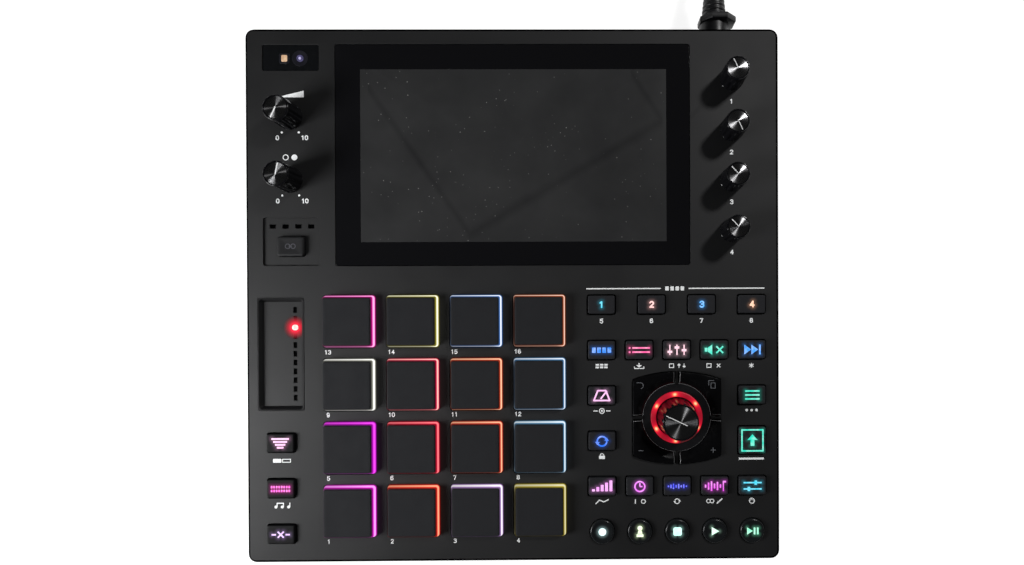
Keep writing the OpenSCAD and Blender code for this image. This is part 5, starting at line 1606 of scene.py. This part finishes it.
class DRUM_OT_dial(bpy.types.Operator):
    """Make the lit ring, the dark disc around it and the four corner keys."""

    bl_idname = "drum.dial"
    bl_label = "Dial"

    HOT_SPOTS = (95, 37, -26, -93, -152, 150)
    # Painted shade: the angle of the side of the ring that the data knob covers.
    DARK_SIDE = -60
    MARKS = {"undo_key": (63.9, -46.0), "copy_key": (100.4, -45.7), "minus_key": (64.2, -79.0),
             "plus_key": (100.8, -78.9)}

    def execute(self, context):
        bore, edge = 13.25, 17.4
        disc = lathe([(bore, Z_UNDER), (edge, Z_UNDER), (edge, Z_DISC - 0.15), (edge - 0.15, Z_DISC),
                      (15.4, Z_DISC - 0.06), (13.4, Z_DISC), (bore, Z_DISC - 0.12), (bore, Z_UNDER)],
                     96, DIAL, OPEN)
        rim = lathe([(17.1, Z_DISC - 0.1), (17.42, Z_DISC - 0.3), (17.42, Z_DISC - 0.12),
                     (17.25, Z_DISC + 0.01), (17.1, Z_DISC - 0.1)], 96, DIAL, OPEN)
        # Painted highlight: the disc's rim and the corner keys' bevels get a lighter grey, standing in for
        # the light that these edges catch.
        wear_and_edge_highlight = moulded_plastic("painted_edge_highlight", (0.15, 0.15, 0.155), 0.35, 0.1, 0.3, 0.01)
        gloss = gloss_plastic("dial_gloss", (0.008, 0.008, 0.009), 0.14)
        make("dial_disc", [disc, (*rim, 1)], [gloss, wear_and_edge_highlight], CASE, merge=True, crease=40)
        self.ring()
        finishes = [gloss_plastic("corner_key_gloss", (0.0026, 0.0026, 0.0030), 0.16, 0, 0.2), wear_and_edge_highlight]
        for name, (sx, sy) in CORNER_KEYS.items():
            self.corner_key(name, sx, sy, finishes)
        return {"FINISHED"}

    def ring(self):
        """The lit ring. Its heat is a sum of bells over the angle from each lamp, a wide one and a narrow one
        that is strongest in the middle of the ring, less a soft step of painted shade over the side that the
        data knob covers."""
        top = high("light_ring")[2]
        inner, outer, centre = 10.6, 13.1, 11.85
        profile = [(inner, Z_UNDER), (outer, Z_UNDER), (outer, top - 0.3), (13.0, top - 0.1), (12.75, top),
                   (12.3, top), (centre, top), (11.4, top), (10.95, top), (10.7, top - 0.1),
                   (inner, top - 0.3), (inner, Z_UNDER)]
        stops = [(0.0, (0.012, 0.006, 0.007)), (0.3, (0.30, 0.002, 0.015)), (0.5, (0.74, 0.004, 0.032)),
                 (0.75, (1.0, 0.12, 0.06)), (1.0, (1.0, 0.8, 0.4))]
        piece = make("ring_light", [lathe(profile, 180, DIAL, OPEN)],
                     [lit_ring("ring_plastic", stops, (0.12, 0.01, 0.012))], CASE,
                     ["light_ring"], merge=True)
        here = coordinates(piece)[:, :2] - DIAL
        angle = np.degrees(np.arctan2(here[:, 1], here[:, 0]))
        apart = np.abs((angle[:, None] - np.array(self.HOT_SPOTS) + 180) % 360 - 180)
        from_dark = np.abs((angle - self.DARK_SIDE + 180) % 360 - 180)
        across = 1 - ((np.hypot(*here.T) - centre) / ((outer - inner) / 2)) ** 2
        heat = 0.26 + 0.2 * np.exp(-(apart / 19) ** 2).sum(1)
        heat += 0.56 * np.exp(-(apart / 6.5) ** 2).sum(1) * np.clip(across, 0, 1)
        heat -= 0.5 / (1 + np.exp((from_dark - 24) / 3))
        give_values(piece, "ring_heat", np.clip(heat, 0, 1))

    def corner_key(self, name, sx, sy, finishes):
        """A corner key between the disc and the dial's outline. Its cross-section is a profile of distances
        along the line from a point of the inner arc to its partner on the outline, carried along both."""
        gap, inner = 1.45, 17.7
        share = np.linspace(0, 1, 33)
        start = math.asin(gap / inner)
        angle = start + (math.pi / 2 - 2 * start) * share
        near = inner * np.stack([np.cos(angle), np.sin(angle)], -1)
        first, last = math.atan(gap / (DIAL_W / 2)), math.pi / 2 - math.atan(gap / (DIAL_D / 2))
        reach = first + (last - first) * share
        far = dial_radius(reach)[:, None] * np.stack([np.cos(reach), np.sin(reach)], -1)
        way = (far - near) / np.linalg.norm(far - near, axis=1)[:, None]
        top = high(name)[2]
        profile = [(near, 0.15, KEY_LOW), (near, 0, top - 2.1), (near, 0.25, top - 1.85),
                   (near, 0.9, top - 1.5), (near, 1.9, top - 0.85), (near, 2.8, top - 0.35),
                   (near, 3.4, top - 0.08), (near, 3.9, top), (far, -0.7, top), (far, -0.25, top - 0.13),
                   (far, 0, top - 0.5), (far, 0, KEY_LOW)]
        rows = np.stack([np.column_stack([base + way * off, np.full(len(share), z)])
                         for base, off, z in profile], 1)
        rows = rows * [sx, sy, 1] + [*DIAL, 0]
        if sx * sy < 0:
            rows = rows[:, ::-1]
        piece = make(name + "_cap", [skin(rows)], finishes, name, [name], crease=30)
        # The bevel takes the second finish, the painted highlight.
        soft = piece.modifiers.new("soft_edges", "BEVEL")
        soft.width, soft.segments = 0.24 * MM, 2
        soft.limit_method, soft.angle_limit = "ANGLE", math.radians(50)
        soft.material = 1
        make(name + "_legend", [plates(ICONS[name], top + PRINT_LIFT, place=self.MARKS[name])],
             [printed_ink("dial_print", tint(96, 98, 102))], name)


# ------------------------------------------------ knobs

class DRUM_OT_knobs(bpy.types.Operator):
    """Make the seven knobs: glossy fluted sides, turned caps and white pointers."""

    bl_idname = "drum.knobs"
    bl_label = "Knobs"

    MAP_RADIUS, MAP_TURN = 20, 6.3
    POINTERS = {"master_knob": 243, "record_knob": 80, "knob_1": 115, "knob_2": -63, "knob_3": 133,
                "knob_4": 133, "data_knob": 155}

    def execute(self, context):
        s = settings().knobs
        side = gloss_plastic("knob_side_gloss", (0.004, 0.004, 0.005), 0.1, 0, 0.22)
        cap = turned_metal("knob_cap_metal", (0.25, 0.25, 0.255), 0.265, s.spin)
        white = printed_ink("pointer_white", tint(235, 236, 236))
        for name, turn in self.POINTERS.items():
            self.knob(name, turn, s, [side, cap, white])
        return {"FINISHED"}

    def knob(self, name, turn, s, materials):
        """A knob turned from a profile, with flutes in its side, a coned cap and the two halves of its
        pointer laid down the cone's sides. The data knob narrows by a millimetre to the top, and the others
        by 0.35 mm."""
        large = name == "data_knob"
        taper, flutes, back = (1.0, 18, 3.6) if large else (0.35, 12, 0.4)
        foot = Z_PANEL - 0.4 if large else Z_PANEL + 0.8
        place, top = middle(name)[:2], high(name)[2]
        radius = (high(name)[0] - low(name)[0]) / 2
        depth, half = s.flute / MM, 0.95
        rim = radius - taper
        face, rise = rim - 0.92, 0.34

        def squeeze(angle, height):
            """One minus the flute's depth over the radius, times a parabola across each flute."""
            pitch = 2 * math.pi / flutes
            off = np.abs((angle - math.radians(turn) + pitch / 2) % pitch - pitch / 2) * radius
            across = np.clip(1 - ((pitch / 2 * radius - off) / half) ** 2, 0, 1)
            fade = np.clip((top - 0.35 - height) / 0.8, 0, 1) * np.clip((height - foot - 0.3) / 0.4, 0, 1)
            return 1 - depth / radius * across * fade

        share = np.linspace(0, 1, 7)
        wall = np.column_stack([radius - taper * share, foot + 0.5 + (top - foot - 1.4) * share])
        side = np.vstack([[(radius - 1.2, foot), (radius - 0.3, foot), (radius - 0.02, foot + 0.3)], wall,
                          [(rim - 0.1, top - 0.45), (rim - 0.3, top - 0.18), (rim - 0.55, top - 0.08),
                           (rim - 0.8, top - 0.12), (face, top - 0.4)]])
        body = lathe(side, flutes * 12, place, (True, False), squeeze)
        rings = np.linspace(1, 0.04, 14)
        cone = np.column_stack([face * rings, top - 0.06 - rise * rings])
        disc = lathe(cone, flutes * 12, place, (False, True))
        wide = s.pointer / MM * (1 if name in LEVEL_KNOBS else 0.6)
        marks = []
        for end in (rim - 1.0, -back):
            points, faces = rounded_block(abs(end), wide, 0.15, top - 0.2, top - 0.02, 0.04, (end / 2, 0))
            points[:, 2] -= rise * np.abs(points[:, 0]) / face
            marks.append((*swing((points, faces), turn, place), 2))
        piece = make(name + "_cap", [body, (*disc, 1), *marks], materials, name, [name],
                     merge=True, crease=32)
        self.turned_map(piece, place)

    def turned_map(self, piece, place):
        """A UV map whose U is the distance from the axis and V the angle, unwrapped within each face. Both
        are divided so that they stay below one."""
        mesh = piece.data
        corners = np.empty(len(mesh.loops), np.int32)
        mesh.loops.foreach_get("vertex_index", corners)
        start, total = (np.empty(len(mesh.polygons), np.int32) for _ in range(2))
        mesh.polygons.foreach_get("loop_start", start)
        mesh.polygons.foreach_get("loop_total", total)
        here = coordinates(piece)[corners][:, :2] - place
        angle = np.arctan2(here[:, 1], here[:, 0])
        first = np.repeat(angle[start], total)
        angle = first + (angle - first + math.pi) % (2 * math.pi) - math.pi
        layer = mesh.uv_layers.new(name="turned")
        both = np.stack([np.hypot(*here.T) / self.MAP_RADIUS, angle / self.MAP_TURN], -1)
        layer.data.foreach_set("uv", both.astype(np.float32).ravel())


# ------------------------------------------------ printed marks

class DRUM_OT_marks(bpy.types.Operator):
    """Print the plain marks of the panel: numbers at the pads and knobs, levels, and the bank line."""

    bl_idname = "drum.marks"
    bl_label = "Printed marks"

    LEVEL_ENDS = {"0": -118.7, "10": -105}
    LEVEL_ROWS = (79.9, 48)
    SMALL_COLUMN, SMALL_ROWS = 111, (98, 72.3, 47, 21.5)
    BANK_ROW = -13.3
    PAD_COLUMNS, PAD_ROWS = (-94, -62, -30.2, 1.9), (-124.5, -92.4, -60.3, -28.5)
    LARGE_NUMBER, PAD_NUMBER = (2.45, 0.5), (2.3, 0.4)
    SIGN_ROWS = {"full_level_key": -83.3, "levels_key": -106, "tap_key": -59, "menu_key": -59,
                 "repeat_key": -82, "upper_keys": -36.2, "lower_keys": -105.2}
    BANK_LINE = 3.1

    def execute(self, context):
        marks = self.symbols() + self.numbers()
        make("panel_print", [plates(marks, Z_PANEL + PRINT_LIFT, 0.03)],
             [printed_ink("panel_ink", tint(246, 248, 248))], CASE)
        return {"FINISHED"}

    def numbers(self):
        """The numbers of the levels, small knobs and bank keys, and then the pads' smaller ones."""
        large = [(text, x, y) for y in self.LEVEL_ROWS for text, x in self.LEVEL_ENDS.items()]
        large += [(str(i + 1), self.SMALL_COLUMN, y) for i, y in enumerate(self.SMALL_ROWS)]
        large += [(str(i + 5), x, self.BANK_ROW) for i, (x, _) in enumerate(key_centres("bank_keys")[0])]
        small = [(str(4 * row + i + 1), x, y) for row, y in enumerate(self.PAD_ROWS)
                 for i, x in enumerate(self.PAD_COLUMNS)]
        return [m for entries, form in ((large, self.LARGE_NUMBER), (small, self.PAD_NUMBER))
                for text, x, y in entries for m in number(text, x, y, *form)]

    def sign_spots(self):
        """Where the small sign of each key goes."""
        return [(x, y) for name, y in self.SIGN_ROWS.items() for x, _ in key_centres(name)[0]]

    def symbols(self):
        """The levels' wedge and rings, the bank line, and a small sign under each key for its second use."""
        marks = wedge((-119.3, 100.3), (-105.3, 100.3), (-105.3, 103.6)) + arc(-114.6, 70, 1.3, width=0.45)
        marks += dot(-110.2, 70, 1.5)
        for x, y in ((-116.5, 82.6), (-107.9, 82.6), (-116.4, 50.8), (-107.9, 50.8)):
            marks += dot(x, y, 0.55)
        for x0, x1 in ((36.8, 74.6), (88.9, 127.5)):
            marks += bar(x0, self.BANK_LINE, x1, self.BANK_LINE, 0.6)
        marks += [m for i in range(4) for m in block(77.9 + i * 2.6, self.BANK_LINE, 1.8, 2.1, 0.3)]
        marks += bar(114.2, -83.7, 126.9, -83.7, 1.0)
        for spot, sign in zip(self.sign_spots(), SIGNS):
            marks += [m + spot for m in sign]
        return marks


# ------------------------------------------------ panel and start

STEPS = ("stage", "case", "screen", "pads", "keys", "transport", "link", "strip", "dial", "knobs", "marks",
         "lead")


class DRUM_PT_machine(bpy.types.Panel):
    """Lists the steps that build the drum machine, with their settings."""

    bl_idname = "DRUM_PT_machine"
    bl_label = "Drum machine"
    bl_space_type = "VIEW_3D"
    bl_region_type = "UI"
    bl_category = "Drum machine"

    def draw(self, context):
        machine = context.scene.drum_machine
        for step in STEPS:
            self.layout.operator(f"drum.{step}")
        for name in machine.bl_rna.properties.keys():
            group = getattr(machine, name, None)
            if isinstance(group, bpy.types.PropertyGroup):
                box = self.layout.box()
                for key in group.bl_rna.properties.keys():
                    if key not in ("rna_type", "name"):
                        box.prop(group, key)


CLASSES = (
    DRUM_PG_case, DRUM_PG_pads, DRUM_PG_keys, DRUM_PG_knobs, DRUM_PG_lead, DRUM_PG_stage, DRUM_PG_machine,
    DRUM_OT_stage, DRUM_OT_case, DRUM_OT_screen, DRUM_OT_pads, DRUM_OT_keys, DRUM_OT_transport, DRUM_OT_link,
    DRUM_OT_strip, DRUM_OT_dial, DRUM_OT_knobs, DRUM_OT_marks, DRUM_OT_lead, DRUM_PT_machine,
)


def register():
    """Adds the classes and the scene's settings to Blender."""
    for cls in CLASSES:
        bpy.utils.register_class(cls)
    bpy.types.Scene.drum_machine = PointerProperty(type=DRUM_PG_machine)


def unregister():
    """Takes them out again."""
    del bpy.types.Scene.drum_machine
    for cls in reversed(CLASSES):
        bpy.utils.unregister_class(cls)


def main():
    """Builds the whole machine."""
    register()
    for step in STEPS:
        getattr(bpy.ops.drum, step)()


if __name__ == "__main__":
    main()
